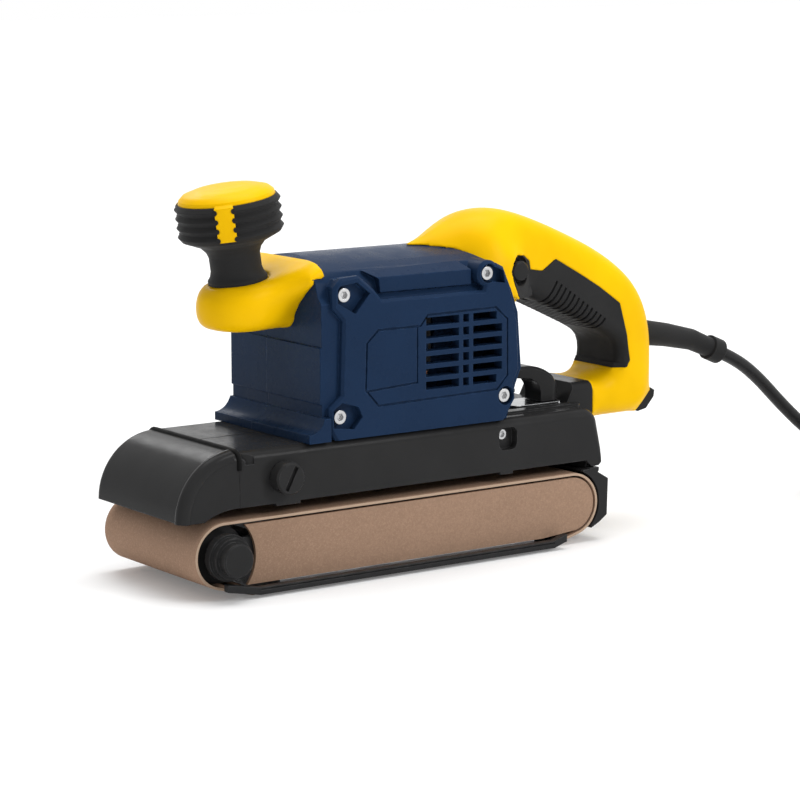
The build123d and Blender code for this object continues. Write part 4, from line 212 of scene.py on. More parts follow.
class SanderColours(bpy.types.PropertyGroup):
    """Colours of the finishes."""

    navy: colour("Navy", "Moulded motor housing", (0.0110, 0.0275, 0.0670))
    yellow: colour("Yellow", "Moulded handle, nose and knob cap", (0.970, 0.550, 0.0010))
    charcoal: colour("Charcoal", "Moulded base, hood, covers and levers", (0.0255, 0.0255, 0.0260))
    soft_black: colour("Soft black", "Overmoulded rubber of the grip", (0.0200, 0.0200, 0.0204))
    # Painted shadow: the near-black of the bead laid in the hood's joint to stand for the joint's shadow.
    seam_shadow_black: colour("Seam shadow black", "Near-black bead that stands for the shadow in the joint of hood and base", (0.0040, 0.0040, 0.0041))
    lead_black: colour("Lead black", "Sheath of the power lead and its plug", (0.0180, 0.0180, 0.0185))
    abrasive: colour("Abrasive", "Grit side of the sanding belt", (0.395, 0.253, 0.174))
    belt_edge: colour("Belt edge", "Cut edge of the belt's cloth", (0.480, 0.350, 0.255))
    side_plate: colour("Side plate", "Painted plate inside the belt's near edge", (0.350, 0.226, 0.155))
    steel: colour("Steel", "Screws, axles and plates", (0.450, 0.453, 0.460))
    dark_steel: colour("Dark steel", "Blackened rail and slide", (0.0200, 0.0200, 0.0208))
    aluminium: colour("Aluminium", "Die-cast frame and pulleys", (0.620, 0.625, 0.635))
    iron: colour("Core iron", "Laminated motor cores", (0.150, 0.148, 0.150))
    copper: colour("Copper", "Enamelled windings and commutator", (0.620, 0.235, 0.085))
    brass: colour("Brass", "Bushes and brush holders", (0.700, 0.500, 0.190))
    carbon: colour("Carbon", "Motor brushes", (0.0200, 0.0200, 0.0200))
    cork: colour("Cork", "Graphite-faced pad on the platen", (0.085, 0.072, 0.064))
    dust: colour("Dust", "Fine wood dust that settles on the tool", (0.420, 0.350, 0.270))


class SanderLead(bpy.types.PropertyGroup):
    """Sizes of the power lead and its coil."""

    diameter: length("Diameter", "Outside diameter of the sheath", 0.0064)
    length: length("Length", "Whole length of the lead from the guard to the plug", 1.908)
    centre: bpy.props.FloatVectorProperty(
        name="Coil centre", description="Middle of the coil on the floor", subtype="XYZ",
        unit="LENGTH", size=2, default=(0.280, -0.070),
    )
    inner: length("Inner radius", "Radius of the innermost turn at the middle of the lead", 0.0265)
    pitch: length("Pitch", "Distance between neighbouring turns", 0.007)
    lower_turns: number("Lower turns", "Turns in the layer on the floor", 3.25)
    upper_turns: number("Upper turns", "Turns in the layer on top", 3.5)
    rest_height: length("Rest height", "Height of the lower layer's middle", 0.0043)
    climb_dip: length("Climb dip", "How far the climbing half turn draws in", 0.001114)
    tail: length("Tail", "Straight run from the coil to the plug", 0.022)


class SanderStage(bpy.types.PropertyGroup):
    """Camera, floor and lamps."""

    target: bpy.props.FloatVectorProperty(
        name="Target", description="Point at the middle of the picture", subtype="XYZ",
        unit="LENGTH", size=3, default=(0.02344, 0.0, 0.06774),
    )
    azimuth: degrees("Azimuth", "Turn of the camera from square on to the near side", -35.43)
    elevation: degrees("Elevation", "Height of the camera above the floor as an angle", 9.53)
    distance: length("Distance", "From the camera to its target", 1.28268)
    lens: number("Lens", "Focal length in millimetres", 129.609)
    floor_tone: share("Floor tone", "Paleness of the floor", 0.86)
    floor_lift: share("Floor lift", "White added to the floor as the camera sees it", 0.15)
    world_level: share("World level", "Level of the even light from all round", 0.43)
    sun_strength: number("Top light", "Strength of the broad light from above", 2.2)
    sun_spread: degrees("Top spread", "Apparent width of the broad light, for soft shadows", 50.0)
    key_power: number("Key lamp", "Power of the lamp beside the near face in watts", 8.0)
    rim_power: number("Rim lamp", "Power of the lamp behind the tool in watts", 1.8)


def node(tree, kind, **settings):
    """Add a shader node and set its plain settings."""
    made = tree.nodes.new(kind)
    for key, value in settings.items():
        setattr(made, key, value)
    return made


def feed(tree, target, source):
    """Give a socket a constant, or link another node's socket to it."""
    if isinstance(source, bpy.types.NodeSocket):
        tree.links.new(source, target)
        return
    target.default_value = source


def calculate(tree, operation, first, second=0.5, third=None, clamp=False):
    """One step of arithmetic on values."""
    step = node(tree, "ShaderNodeMath", operation=operation, use_clamp=clamp)
    feed(tree, step.inputs[0], first)
    feed(tree, step.inputs[1], second)
    if third is not None:
        feed(tree, step.inputs[2], third)
    return step.outputs[0]


def remap(tree, value, low, high, to_low=0.0, to_high=1.0):
    """Carry a value smoothly from one range to another, or to a mask."""
    step = node(tree, "ShaderNodeMapRange", interpolation_type="SMOOTHSTEP")
    feed(tree, step.inputs["Value"], value)
    step.inputs["From Min"].default_value = low
    step.inputs["From Max"].default_value = high
    feed(tree, step.inputs["To Min"], to_low)
    feed(tree, step.inputs["To Max"], to_high)
    return step.outputs["Result"]


def blend_colours(tree, amount, first, second):
    """Mix two colours by a mask."""
    step = node(tree, "ShaderNodeMix", data_type="RGBA")
    feed(tree, step.inputs[0], amount)
    feed(tree, step.inputs[6], first)
    feed(tree, step.inputs[7], second)
    return step.outputs[2]


def noise(tree, place, scale, detail=2.0, roughness=0.5):
    """Smooth noise of a given scale, in cycles a metre."""
    step = node(tree, "ShaderNodeTexNoise")
    feed(tree, step.inputs["Vector"], place)
    feed(tree, step.inputs["Scale"], scale)
    step.inputs["Detail"].default_value = detail
    step.inputs["Roughness"].default_value = roughness
    return step.outputs["Fac"]


def object_place(tree):
    """The surface's place in the piece's own metres."""
    return node(tree, "ShaderNodeTexCoord").outputs["Object"]


def plain_normal(tree):
    """The normal that the surface has by itself."""
    return node(tree, "ShaderNodeNewGeometry").outputs["Normal"]


def parts_of(tree, vector):
    """The X, Y and Z of a vector."""
    split = node(tree, "ShaderNodeSeparateXYZ")
    feed(tree, split.inputs[0], vector)
    return split.outputs


def new_group(name, inputs, outputs):
    """An empty shader node group with named sockets."""
    tree = bpy.data.node_groups.new(name, "ShaderNodeTree")
    for label, kind, value in inputs:
        socket = tree.interface.new_socket(label, in_out="INPUT", socket_type=kind)
        socket.default_value = value
    for label, kind in outputs:
        tree.interface.new_socket(label, in_out="OUTPUT", socket_type=kind)
    start = node(tree, "NodeGroupInput")
    end = node(tree, "NodeGroupOutput")
    return tree, start.outputs, end.inputs


VALUE = "NodeSocketFloat"
VECTOR = "NodeSocketVector"


def moulded_grain_group():
    """The fine etched texture of a mould, with slow changes of tone and gloss."""
    tree, start, end = new_group(
        "Moulded grain",
        (("Grain scale", VALUE, 1500.0), ("Blotch scale", VALUE, 30.0)),
        (("Height", VALUE), ("Tone", VALUE), ("Gloss", VALUE)),
    )
    place = object_place(tree)
    fine = noise(tree, place, start["Grain scale"], 2.0, 0.55)
    slow = noise(tree, place, start["Blotch scale"], 3.0, 0.55)
    feed(tree, end["Height"], remap(tree, fine, 0.3, 0.72))
    feed(tree, end["Tone"], remap(tree, slow, 0.28, 0.72))
    smear = noise(tree, place, calculate(tree, "MULTIPLY", start["Blotch scale"], 4.0), 4.0, 0.6)
    feed(tree, end["Gloss"], remap(tree, smear, 0.25, 0.75))
    return tree


def edge_wear_and_highlight_group():
    """Edges, for wear and for a painted highlight: the rounded normal leaves the plain one, broken up by
    noise.
    """
    tree, start, end = new_group(
        "Edge wear and highlight",
        (
            ("Rounded normal", VECTOR, (0.0, 0.0, 1.0)),
            ("Amount", VALUE, 1.0),
            ("Break-up scale", VALUE, 220.0),
        ),
        (("Mask", VALUE),),
    )
    between = node(tree, "ShaderNodeVectorMath", operation="DOT_PRODUCT")
    feed(tree, between.inputs[0], start["Rounded normal"])
    feed(tree, between.inputs[1], plain_normal(tree))
    edge = remap(tree, between.outputs["Value"], 0.995, 0.90)
    patches = noise(tree, object_place(tree), start["Break-up scale"], 4.0, 0.62)
    mask = calculate(tree, "MULTIPLY", edge, remap(tree, patches, 0.42, 0.66, 0.15, 1.0))
    feed(tree, end["Mask"], calculate(tree, "MULTIPLY", mask, start["Amount"], clamp=True))
    return tree


def settled_dust_group():
    """A thin veil of dust on faces that look up, in soft drifts."""
    tree, start, end = new_group(
        "Settled dust",
        (("Amount", VALUE, 0.1), ("Drift scale", VALUE, 55.0)),
        (("Mask", VALUE),),
    )
    upward = remap(tree, parts_of(tree, plain_normal(tree))["Z"], 0.25, 0.95)
    place = object_place(tree)
    drift = remap(tree, noise(tree, place, start["Drift scale"], 5.0, 0.62), 0.40, 0.75, 0.2, 1.0)
    specks = remap(tree, noise(tree, place, 1900.0, 1.0, 0.5), 0.58, 0.70, 0.55, 1.0)
    mask = calculate(tree, "MULTIPLY", calculate(tree, "MULTIPLY", upward, drift), specks)
    feed(tree, end["Mask"], calculate(tree, "MULTIPLY", mask, start["Amount"], clamp=True))
    return tree


def abrasive_grit_group():
    """Close-set grains on cloth: their height, their lightness, and the gaps between them, where shade is
    painted.
    """
    tree, start, end = new_group(
        "Abrasive grit",
        (("Grain scale", VALUE, 2100.0), ("Streak scale", VALUE, 9.0)),
        (("Height", VALUE), ("Light grains", VALUE), ("Gaps", VALUE), ("Streak", VALUE)),
    )
    place = object_place(tree)
    cells = node(tree, "ShaderNodeTexVoronoi", feature="F1")
    feed(tree, cells.inputs["Vector"], place)
    feed(tree, cells.inputs["Scale"], start["Grain scale"])
    feed(tree, end["Height"], calculate(tree, "SUBTRACT", 1.0, cells.outputs["Distance"], clamp=True))
    pick = node(tree, "ShaderNodeSeparateColor")
    feed(tree, pick.inputs[0], cells.outputs["Color"])
    feed(tree, end["Light grains"], remap(tree, pick.outputs[0], 0.62, 0.98))
    feed(tree, end["Gaps"], remap(tree, noise(tree, place, 900.0, 3.0, 0.7), 0.36, 0.62, 1.0, 0.0))
    feed(tree, end["Streak"], noise(tree, place, start["Streak scale"], 4.0, 0.6))
    return tree


def drawn_metal_group():
    """Fine lines left on metal by drawing or turning, and slow changes of gloss."""
    tree, start, end = new_group(
        "Drawn metal",
        (("Line spread", VECTOR, LINES_ALONG_X), ("Blotch scale", VALUE, 45.0)),
        (("Lines", VALUE), ("Blotch", VALUE)),
    )
    place = object_place(tree)
    spread = node(tree, "ShaderNodeVectorMath", operation="MULTIPLY")
    feed(tree, spread.inputs[0], place)
    feed(tree, spread.inputs[1], start["Line spread"])
    feed(tree, end["Lines"], noise(tree, spread.outputs[0], 1.0, 3.0, 0.6))
    slow = noise(tree, place, start["Blotch scale"], 4.0, 0.6)
    feed(tree, end["Blotch"], remap(tree, slow, 0.3, 0.7))
    return tree


GROUP_MAKERS = {
    "Moulded grain": moulded_grain_group,
    "Edge wear and highlight": edge_wear_and_highlight_group,
    "Settled dust": settled_dust_group,
    "Abrasive grit": abrasive_grit_group,
    "Drawn metal": drawn_metal_group,
}


def effect(tree, name, **values):
    """Place a shared effect in a material, with its own values."""
    group = bpy.data.node_groups.get(name) or GROUP_MAKERS[name]()
    placed = node(tree, "ShaderNodeGroup", node_tree=group)
    for key, value in values.items():
        feed(tree, placed.inputs[key.replace("_", " ").capitalize()], value)
    return placed.outputs


def opaque(colour_value):
    """A colour with its alpha."""
    return (*colour_value, 1.0)


def tinted(colour_value, factor):
    """A colour made lighter or darker."""
    return tuple(min(1.0, part * factor) for part in colour_value)


def start_material(name, metallic=0.0, specular=0.5, coat=0.0, coat_roughness=0.1):
    """A new material with its constants set on the shader."""
    material = bpy.data.materials.new(name)
    material.use_nodes = True
    tree = material.node_tree
    shader = tree.nodes["Principled BSDF"]
    shader.inputs["Metallic"].default_value = metallic
    shader.inputs["Specular IOR Level"].default_value = specular
    shader.inputs["IOR"].default_value = SURFACE_IOR
    shader.inputs["Coat Weight"].default_value = coat
    shader.inputs["Coat Roughness"].default_value = coat_roughness
    return material, tree, shader


def feed_surface(tree, shader, base, roughness, normal):
    """Feed the three sockets that every finish has."""
    feed(tree, shader.inputs["Base Color"], base)
    feed(tree, shader.inputs["Roughness"], roughness)
    feed(tree, shader.inputs["Normal"], normal)


def two_tone(tree, mask, base, low, high):
    """A colour that goes from a darker to a lighter tone of itself by a mask."""
    return blend_colours(tree, mask, opaque(tinted(base, low)), opaque(tinted(base, high)))


def rounded_normal(tree, radius):
    """The normal that a small round along every edge would have."""
    bevel = node(tree, "ShaderNodeBevel", samples=ROUND_SAMPLES)
    bevel.inputs["Radius"].default_value = radius
    return bevel.outputs["Normal"]


def bump(tree, height, depth, strength, normal):
    """A small relief over a normal."""
    step = node(tree, "ShaderNodeBump")
    step.inputs["Distance"].default_value = depth
    step.inputs["Strength"].default_value = strength
    feed(tree, step.inputs["Height"], height)
    feed(tree, step.inputs["Normal"], normal)
    return step.outputs["Normal"]


def moulded_plastic(name, base, dust, roughness, rub_and_highlight, wear_and_highlight, settled, specular, relief=0.22, grain=1500.0):
    """Injection-moulded plastic: etched grain, edges lightened as rubbing and as a painted highlight, and
    a little dust.
    """
    material, tree, shader = start_material(name, specular=specular)
    soft = rounded_normal(tree, PLASTIC_ROUND)
    etched = effect(tree, "Moulded grain", grain_scale=grain, blotch_scale=PLASTIC_BLOTCH)
    worn_and_highlit = effect(tree, "Edge wear and highlight", rounded_normal=soft, amount=wear_and_highlight)["Mask"]
    dusty = effect(tree, "Settled dust", amount=settled)["Mask"]
    toned = two_tone(tree, etched["Tone"], base, 0.94, 1.06)
    # Painted highlight: edges are lightened by the rub factor, which also stands for rubbing.
    rubbed_and_highlit = blend_colours(tree, worn_and_highlit, toned, opaque(tinted(base, rub_and_highlight)))
    coloured = blend_colours(tree, dusty, rubbed_and_highlit, opaque(dust))
    spread = remap(tree, etched["Gloss"], 0.0, 1.0, roughness - 0.05, roughness + 0.06)
    polished = calculate(tree, "MULTIPLY_ADD", worn_and_highlit, -0.10, spread)
    gloss = calculate(tree, "MULTIPLY_ADD", dusty, 0.3, polished, clamp=True)
    feed_surface(tree, shader, coloured, gloss, bump(tree, etched["Height"], GRAIN_DEPTH, relief, soft))
    return material


def drawn_metal(name, base, roughness=0.32, spread=LINES_ALONG_X, relief=0.15):
    """Bare or plated metal with drawing lines and rubbed edges."""
    material, tree, shader = start_material(name, metallic=1.0)
    soft = rounded_normal(tree, METAL_ROUND)
    lines = effect(tree, "Drawn metal", line_spread=spread)
    worn_and_highlit = effect(tree, "Edge wear and highlight", rounded_normal=soft, amount=METAL_WEAR)["Mask"]
    toned = two_tone(tree, lines["Blotch"], base, 0.86, 1.08)
    coloured = blend_colours(tree, worn_and_highlit, toned, opaque(tinted(base, 1.35)))
    brushed = remap(tree, lines["Lines"], 0.25, 0.75, roughness - 0.08, roughness + 0.10)
    gloss = calculate(tree, "MULTIPLY_ADD", worn_and_highlit, -0.08, brushed, clamp=True)
    feed_surface(tree, shader, coloured, gloss, bump(tree, lines["Lines"], LINE_DEPTH, relief, soft))
    return material


def abrasive_cloth(name, base, edge=None):
    """Fine grit on cloth: painted glints on the light grains and painted shade between them, streaked
    along the belt, with paler cut edges.
    """
    material, tree, shader = start_material(name, specular=0.15)
    grit = effect(tree, "Abrasive grit")
    toned = two_tone(tree, remap(tree, grit["Streak"], 0.3, 0.7), base, 0.93, 1.07)
    glints = calculate(tree, "MULTIPLY", grit["Light grains"], 0.4)
    lit = blend_colours(tree, glints, toned, opaque(tinted(base, 1.35)))
    # Painted shade: the gaps between the grains are darkened to seven tenths of the base.
    painted_gap_shade = calculate(tree, "MULTIPLY", grit["Gaps"], 0.3)
    coloured = blend_colours(tree, painted_gap_shade, lit, opaque(tinted(base, 0.7)))
    if edge is not None:
        across = parts_of(tree, node(tree, "ShaderNodeTexCoord").outputs["Normal"])["Y"]
        sideways = remap(tree, calculate(tree, "ABSOLUTE", across), 0.8, 0.95)
        coloured = blend_colours(tree, sideways, coloured, opaque(edge))
    gloss = remap(tree, grit["Light grains"], 0.0, 1.0, 0.92, 0.62)
    feed_surface(
        tree, shader, coloured, gloss, bump(tree, grit["Height"], GRAIN_DEPTH, 0.4, plain_normal(tree))
    )
    return material


def soft_rubber(name, base, roughness=0.58, specular=0.08, sheen=0.05, grain=2600.0, wear_and_highlight=0.3, relief=0.3):
    """Matt rubber: a close skin with a soft rim of light."""
    material, tree, shader = start_material(name, specular=specular)
    shader.inputs["Sheen Weight"].default_value = sheen
    soft = rounded_normal(tree, RUBBER_ROUND)
    skin = effect(tree, "Moulded grain", grain_scale=grain, blotch_scale=RUBBER_BLOTCH)
    worn_and_highlit = effect(tree, "Edge wear and highlight", rounded_normal=soft, amount=wear_and_highlight)["Mask"]
    toned = two_tone(tree, skin["Tone"], base, 0.9, 1.12)
    # Edges are lightened to nearly twice the base, as wear and as a painted highlight.
    coloured = blend_colours(tree, worn_and_highlit, toned, opaque(tinted(base, 1.9)))
    gloss = remap(tree, skin["Gloss"], 0.0, 1.0, roughness - 0.05, roughness + 0.08)
    feed_surface(tree, shader, coloured, gloss, bump(tree, skin["Height"], GRAIN_DEPTH, relief, soft))
    return material


def laminated_iron(name, base):
    """Stacked core plates: thin dark lines across the stack."""
    material, tree, shader = start_material(name, metallic=0.8)
    stack = calculate(tree, "PINGPONG", parts_of(tree, object_place(tree))["Y"], PLATE_HALF_PITCH)
    plates = remap(tree, stack, 0.0, PLATE_LINE)
    lines = effect(tree, "Drawn metal", line_spread=LINES_ALONG_Y)
    toned = two_tone(tree, lines["Blotch"], base, 0.8, 1.15)
    coloured = blend_colours(tree, plates, opaque(tinted(base, 0.25)), toned)
    gloss = remap(tree, lines["Lines"], 0.25, 0.75, 0.42, 0.62)
    feed_surface(tree, shader, coloured, gloss, bump(tree, plates, GRAIN_DEPTH, 0.5, plain_normal(tree)))
    return material


def enamelled_wire(name, base):
    """Close-wound copper under clear enamel, with painted shade in the creases between the wires."""
    material, tree, shader = start_material(name, metallic=1.0, coat=0.4, coat_roughness=0.15)
    place = parts_of(tree, object_place(tree))
    across = calculate(tree, "ADD", place["Z"], calculate(tree, "MULTIPLY", place["X"], WIRE_SLANT))
    wires = remap(tree, calculate(tree, "PINGPONG", across, WIRE_HALF_PITCH), 0.0, WIRE_HALF_PITCH)
    lines = effect(tree, "Drawn metal", line_spread=LINES_ON_WIRE)
    toned = two_tone(tree, lines["Blotch"], base, 0.8, 1.1)
    # Painted shade: each crease between wires is darkened to a third of the base, easing to full colour at
    # the wire's middle.
    coloured = blend_colours(tree, wires, opaque(tinted(base, 0.35)), toned)
    gloss = remap(tree, lines["Lines"], 0.25, 0.75, 0.22, 0.40)
    feed_surface(tree, shader, coloured, gloss, bump(tree, wires, WIRE_DEPTH, 0.6, plain_normal(tree)))
    return material


def place_in_scene(context, name, data):
    """A new object of some data, linked to the scene."""
    made = bpy.data.objects.new(name, data)
    context.collection.objects.link(made)
    return made


def mesh_of(name, shape):
    """A mesh of a worked shape, which is then let go."""
    made = bpy.data.meshes.new(name)
    shape.to_mesh(made)
    shape.free()
    return made


def points_of(mesh):
    """The places of a mesh's points, one to a row."""
    places = np.empty(len(mesh.vertices) * 3)
    mesh.vertices.foreach_get("co", places)
    return places.reshape(-1, 3)


def corner_weights(corners):
    """The angle at each corner of each triangle."""
    angles = []
    for turn in range(3):
        one = corners[:, (turn + 1) % 3] - corners[:, turn]
        other = corners[:, (turn + 2) % 3] - corners[:, turn]
        sizes = np.linalg.norm(one, axis=1) * np.linalg.norm(other, axis=1)
        cosine = (one * other).sum(axis=1) / np.maximum(sizes, TINY)
        angles.append(np.arccos(np.clip(cosine, -1.0, 1.0)))
    return np.stack(angles, axis=1).reshape(-1)


def shade_as_moulded(mesh, limit):
    """Shade facets that meet at less than the limit as one surface, and keep sharper edges crisp."""
    faces = len(mesh.polygons)
    places = points_of(mesh)
    corner = np.empty(len(mesh.loops), dtype=np.int64)
    mesh.loops.foreach_get("vertex_index", corner)
    if len(corner) != faces * 3:
        raise RuntimeError(mesh.name + " is not all triangles")
    shape = places[corner].reshape(faces, 3, 3)
    facing = np.cross(shape[:, 1] - shape[:, 0], shape[:, 2] - shape[:, 0])
    area = np.linalg.norm(facing, axis=1)
    facing = facing / np.maximum(area, TINY)[:, None]
    normal = np.repeat(facing, 3, axis=0)
    weight = np.repeat(area, 3) * corner_weights(shape)
    cells = np.round(places[corner] * GRID_PER_METRE).astype(np.int64)
    _, spot = np.unique(cells, axis=0, return_inverse=True)
    spot = spot.reshape(-1)
    order = np.argsort(spot, kind="stable")
    counts = np.bincount(spot)
    starts = np.concatenate(([0], np.cumsum(counts)[:-1]))
    result = np.empty_like(normal)
    nearness = math.cos(limit)
    for count in np.unique(counts):
        members = order[starts[counts == count][:, None] + np.arange(count)[None, :]]
        local = normal[members]
        joined = np.einsum("gik,gjk->gij", local, local) > nearness
        total = np.einsum("gij,gj,gjk->gik", joined, weight[members], local)
        size = np.linalg.norm(total, axis=2, keepdims=True)
        result[members] = np.where(size > TINY, total / np.maximum(size, TINY), local)
    mesh.polygons.foreach_set("use_smooth", np.ones(faces, dtype=bool))
    mesh.normals_split_custom_set(result.tolist())


def joined_mesh(names):
    """One mesh of the CAD nodes of these names."""
    both = bmesh.new()
    for name in names:
        both.from_mesh(frame["nodes"][name].data)
    return mesh_of("_".join(names), both)


def modified(context, mesh, kind, **settings):
    """The mesh that one modifier makes of a mesh."""
    holder = place_in_scene(context, "holder", mesh)
    step = holder.modifiers.new("step", kind)
    for key, value in settings.items():
        setattr(step, key, value)
    graph = context.evaluated_depsgraph_get()
    made = bpy.data.meshes.new_from_object(holder.evaluated_get(graph), depsgraph=graph)
    bpy.data.objects.remove(holder)
    bpy.data.meshes.remove(mesh)
    return made


def ease(mesh, neighbours, passes):
    """Round a fine mesh off by averaging, held wherever a neighbouring node is near."""
    touching = joined_mesh(neighbours)
    tree = BVHTree.FromPolygons(
        [vertex.co for vertex in touching.vertices], [face.vertices for face in touching.polygons]
    )
    bpy.data.meshes.remove(touching)
    gap = np.array([tree.find_nearest(vertex.co, EASE_FREE)[3] for vertex in mesh.vertices], float)
    places = points_of(mesh)
    from_lock = np.hypot(places[:, 0] - LOCK_RECESS[0], places[:, 2] - LOCK_RECESS[1]) - LOCK_RECESS[2]
    gap = np.minimum(np.where(np.isnan(gap), EASE_FREE, gap), from_lock)
    freedom = np.clip((gap - EASE_HELD) / (EASE_FREE - EASE_HELD), 0.0, 1.0)
    freedom = EASE_STEP * (freedom * freedom * (3.0 - 2.0 * freedom))[:, None]
    ends = np.empty(len(mesh.edges) * 2, dtype=np.int64)
    mesh.edges.foreach_get("vertices", ends)
    here = np.concatenate((ends[0::2], ends[1::2]))
    there = np.concatenate((ends[1::2], ends[0::2]))
    count = len(places)
    share_of = 1.0 / np.maximum(np.bincount(here, minlength=count), 1)[:, None]
    for _ in range(passes):
        total = np.stack([np.bincount(here, places[there, axis], count) for axis in range(3)], axis=1)
        places += freedom * (total * share_of - places)
    mesh.vertices.foreach_set("co", places.reshape(-1))
    mesh.update()


def eased_skin(context, names, grid, neighbours, passes):
    """One rounded-off mesh of the CAD nodes of these names, made on a fine grid and then thinned out."""
    mesh = modified(context, joined_mesh(names), "REMESH", mode="VOXEL", voxel_size=grid)
    ease(mesh, neighbours, passes)
    return modified(context, mesh, "DECIMATE", ratio=SKIN_FACES_KEPT, use_collapse_triangulate=True)


def half_of(mesh, name, side):
    """The half of a closed mesh on one side of the middle plane, closed by a flat face."""
    half = bmesh.new()
    half.from_mesh(mesh)
    bmesh.ops.bisect_plane(
        half, geom=half.verts[:] + half.edges[:] + half.faces[:], dist=CUT_TOLERANCE,
        plane_co=(0.0, 0.0, 0.0), plane_no=(0.0, -side, 0.0), clear_outer=True,
    )
    rim = [edge for edge in half.edges if edge.is_boundary]
    bmesh.ops.triangle_fill(half, edges=rim, use_beauty=True, normal=(0.0, -side, 0.0))
    bmesh.ops.triangulate(half, faces=half.faces[:])
    return mesh_of(name, half)


def joint_travel(name):
    """How far a sliding joint moves from rest, in metres."""
    joints = frame["record"]["behaviour"]["joints"]
    return next(row["range_m"][1] for row in joints if row["name"] == name)


def with_bore(context, mesh, button, travel):
    """A mesh with a round bore cut from the near side, with room for a button and its travel."""
    low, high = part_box(button)
    middle = (low + high) / 2.0
    depth = high.y + travel + BORE_ROOM
    radius = (high.x - low.x) / 2.0 + BORE_ROOM
    round_bar = bmesh.new()
    bmesh.ops.create_cone(
        round_bar, cap_ends=True, segments=BORE_SIDES, radius1=radius, radius2=radius,
        depth=depth - BORE_START,
        matrix=Matrix.Translation((middle.x, (BORE_START + depth) / 2.0, middle.z))
        @ Matrix.Rotation(math.pi / 2.0, 4, "X"),
    )
    shape = mesh_of("bore", round_bar)
    cutter = place_in_scene(context, "bore", shape)
    made = modified(context, mesh, "BOOLEAN", operation="DIFFERENCE", solver="EXACT", object=cutter)
    bpy.data.objects.remove(cutter)
    bpy.data.meshes.remove(shape)
    return made


def add_skin(context, mesh, name, material):
    """Show an eased mesh in place of the CAD node that it was made from."""
    skin = place_in_scene(context, name + "_skin", mesh)
    mesh.materials.clear()
    mesh.materials.append(material)
    shade_as_moulded(mesh, math.radians(SKIN_LIMIT_DEG))
    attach(skin, "frame")
    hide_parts(name)


def dress(name, material):
    """Give a CAD node its material and its shading."""
    piece = frame["nodes"][name]
    if not piece.material_slots:
        piece.data.materials.append(material)
    for slot in piece.material_slots:
        slot.material = material
    shade_as_moulded(piece.data, math.radians(SMOOTH_LIMIT_DEG))
    return piece


def dress_all(names, material):
    """Give several CAD nodes the same material."""
    for name in names:
        dress(name, material)


def round_bar_along(context, name, points, radius, material):
    """A round bar along one smooth line of control points."""
    curve = bpy.data.curves.new(name, "CURVE")
    curve.dimensions = "3D"
    spline = curve.splines.new("NURBS")
    spline.points.add(len(points) - 1)
    for spot, point in zip(spline.points, points):
        spot.co = (*point, 1.0)
    spline.order_u = LINE_ORDER
    spline.use_endpoint_u = True
    spline.resolution_u = LINE_STEPS
    curve.bevel_depth = radius
    curve.bevel_resolution = BAR_STEPS
    curve.use_fill_caps = True
    curve.materials.append(material)
    return place_in_scene(context, name, curve)


def coil_points(sizes):
    """Control points of the coil: in along the floor, up half a turn, out along the top, then the tail."""
    steps = COIL_POINTS_PER_TURN
    outward = 1.0 / math.cos(math.pi / steps) ** 0.5
    outer = sizes.inner + sizes.lower_turns * sizes.pitch
    climb = steps // 2
    points = []

    def place(turn, radius, height):
        angle = 2.0 * math.pi * turn
        reach = radius * outward
        points.append((
            sizes.centre[0] + reach * math.cos(angle), sizes.centre[1] - reach * math.sin(angle), height
        ))

    for step in range(1, round(sizes.lower_turns * steps)):
        turn = step / steps
        place(turn, outer - sizes.pitch * turn, sizes.rest_height)
    for step in range(climb + 1):
        share_done = step / climb
        radius = sizes.inner - sizes.climb_dip * math.sin(math.pi * share_done)
        height = sizes.rest_height + sizes.pitch * (1.0 - math.cos(math.pi * share_done)) / 2.0
        place(sizes.lower_turns + step / steps, radius, height)
    first = sizes.lower_turns + 0.5
    top = sizes.rest_height + sizes.pitch
    for step in range(1, round(sizes.upper_turns * steps) + 1):
        turn = step / steps
        place(first + turn, sizes.inner + sizes.pitch * turn, top)
    end_y = sizes.centre[1] - sizes.inner - sizes.upper_turns * sizes.pitch
    for step in range(1, TAIL_POINTS + 1):
        points.append((sizes.centre[0] - sizes.tail * step / TAIL_POINTS, end_y, top))
    return points


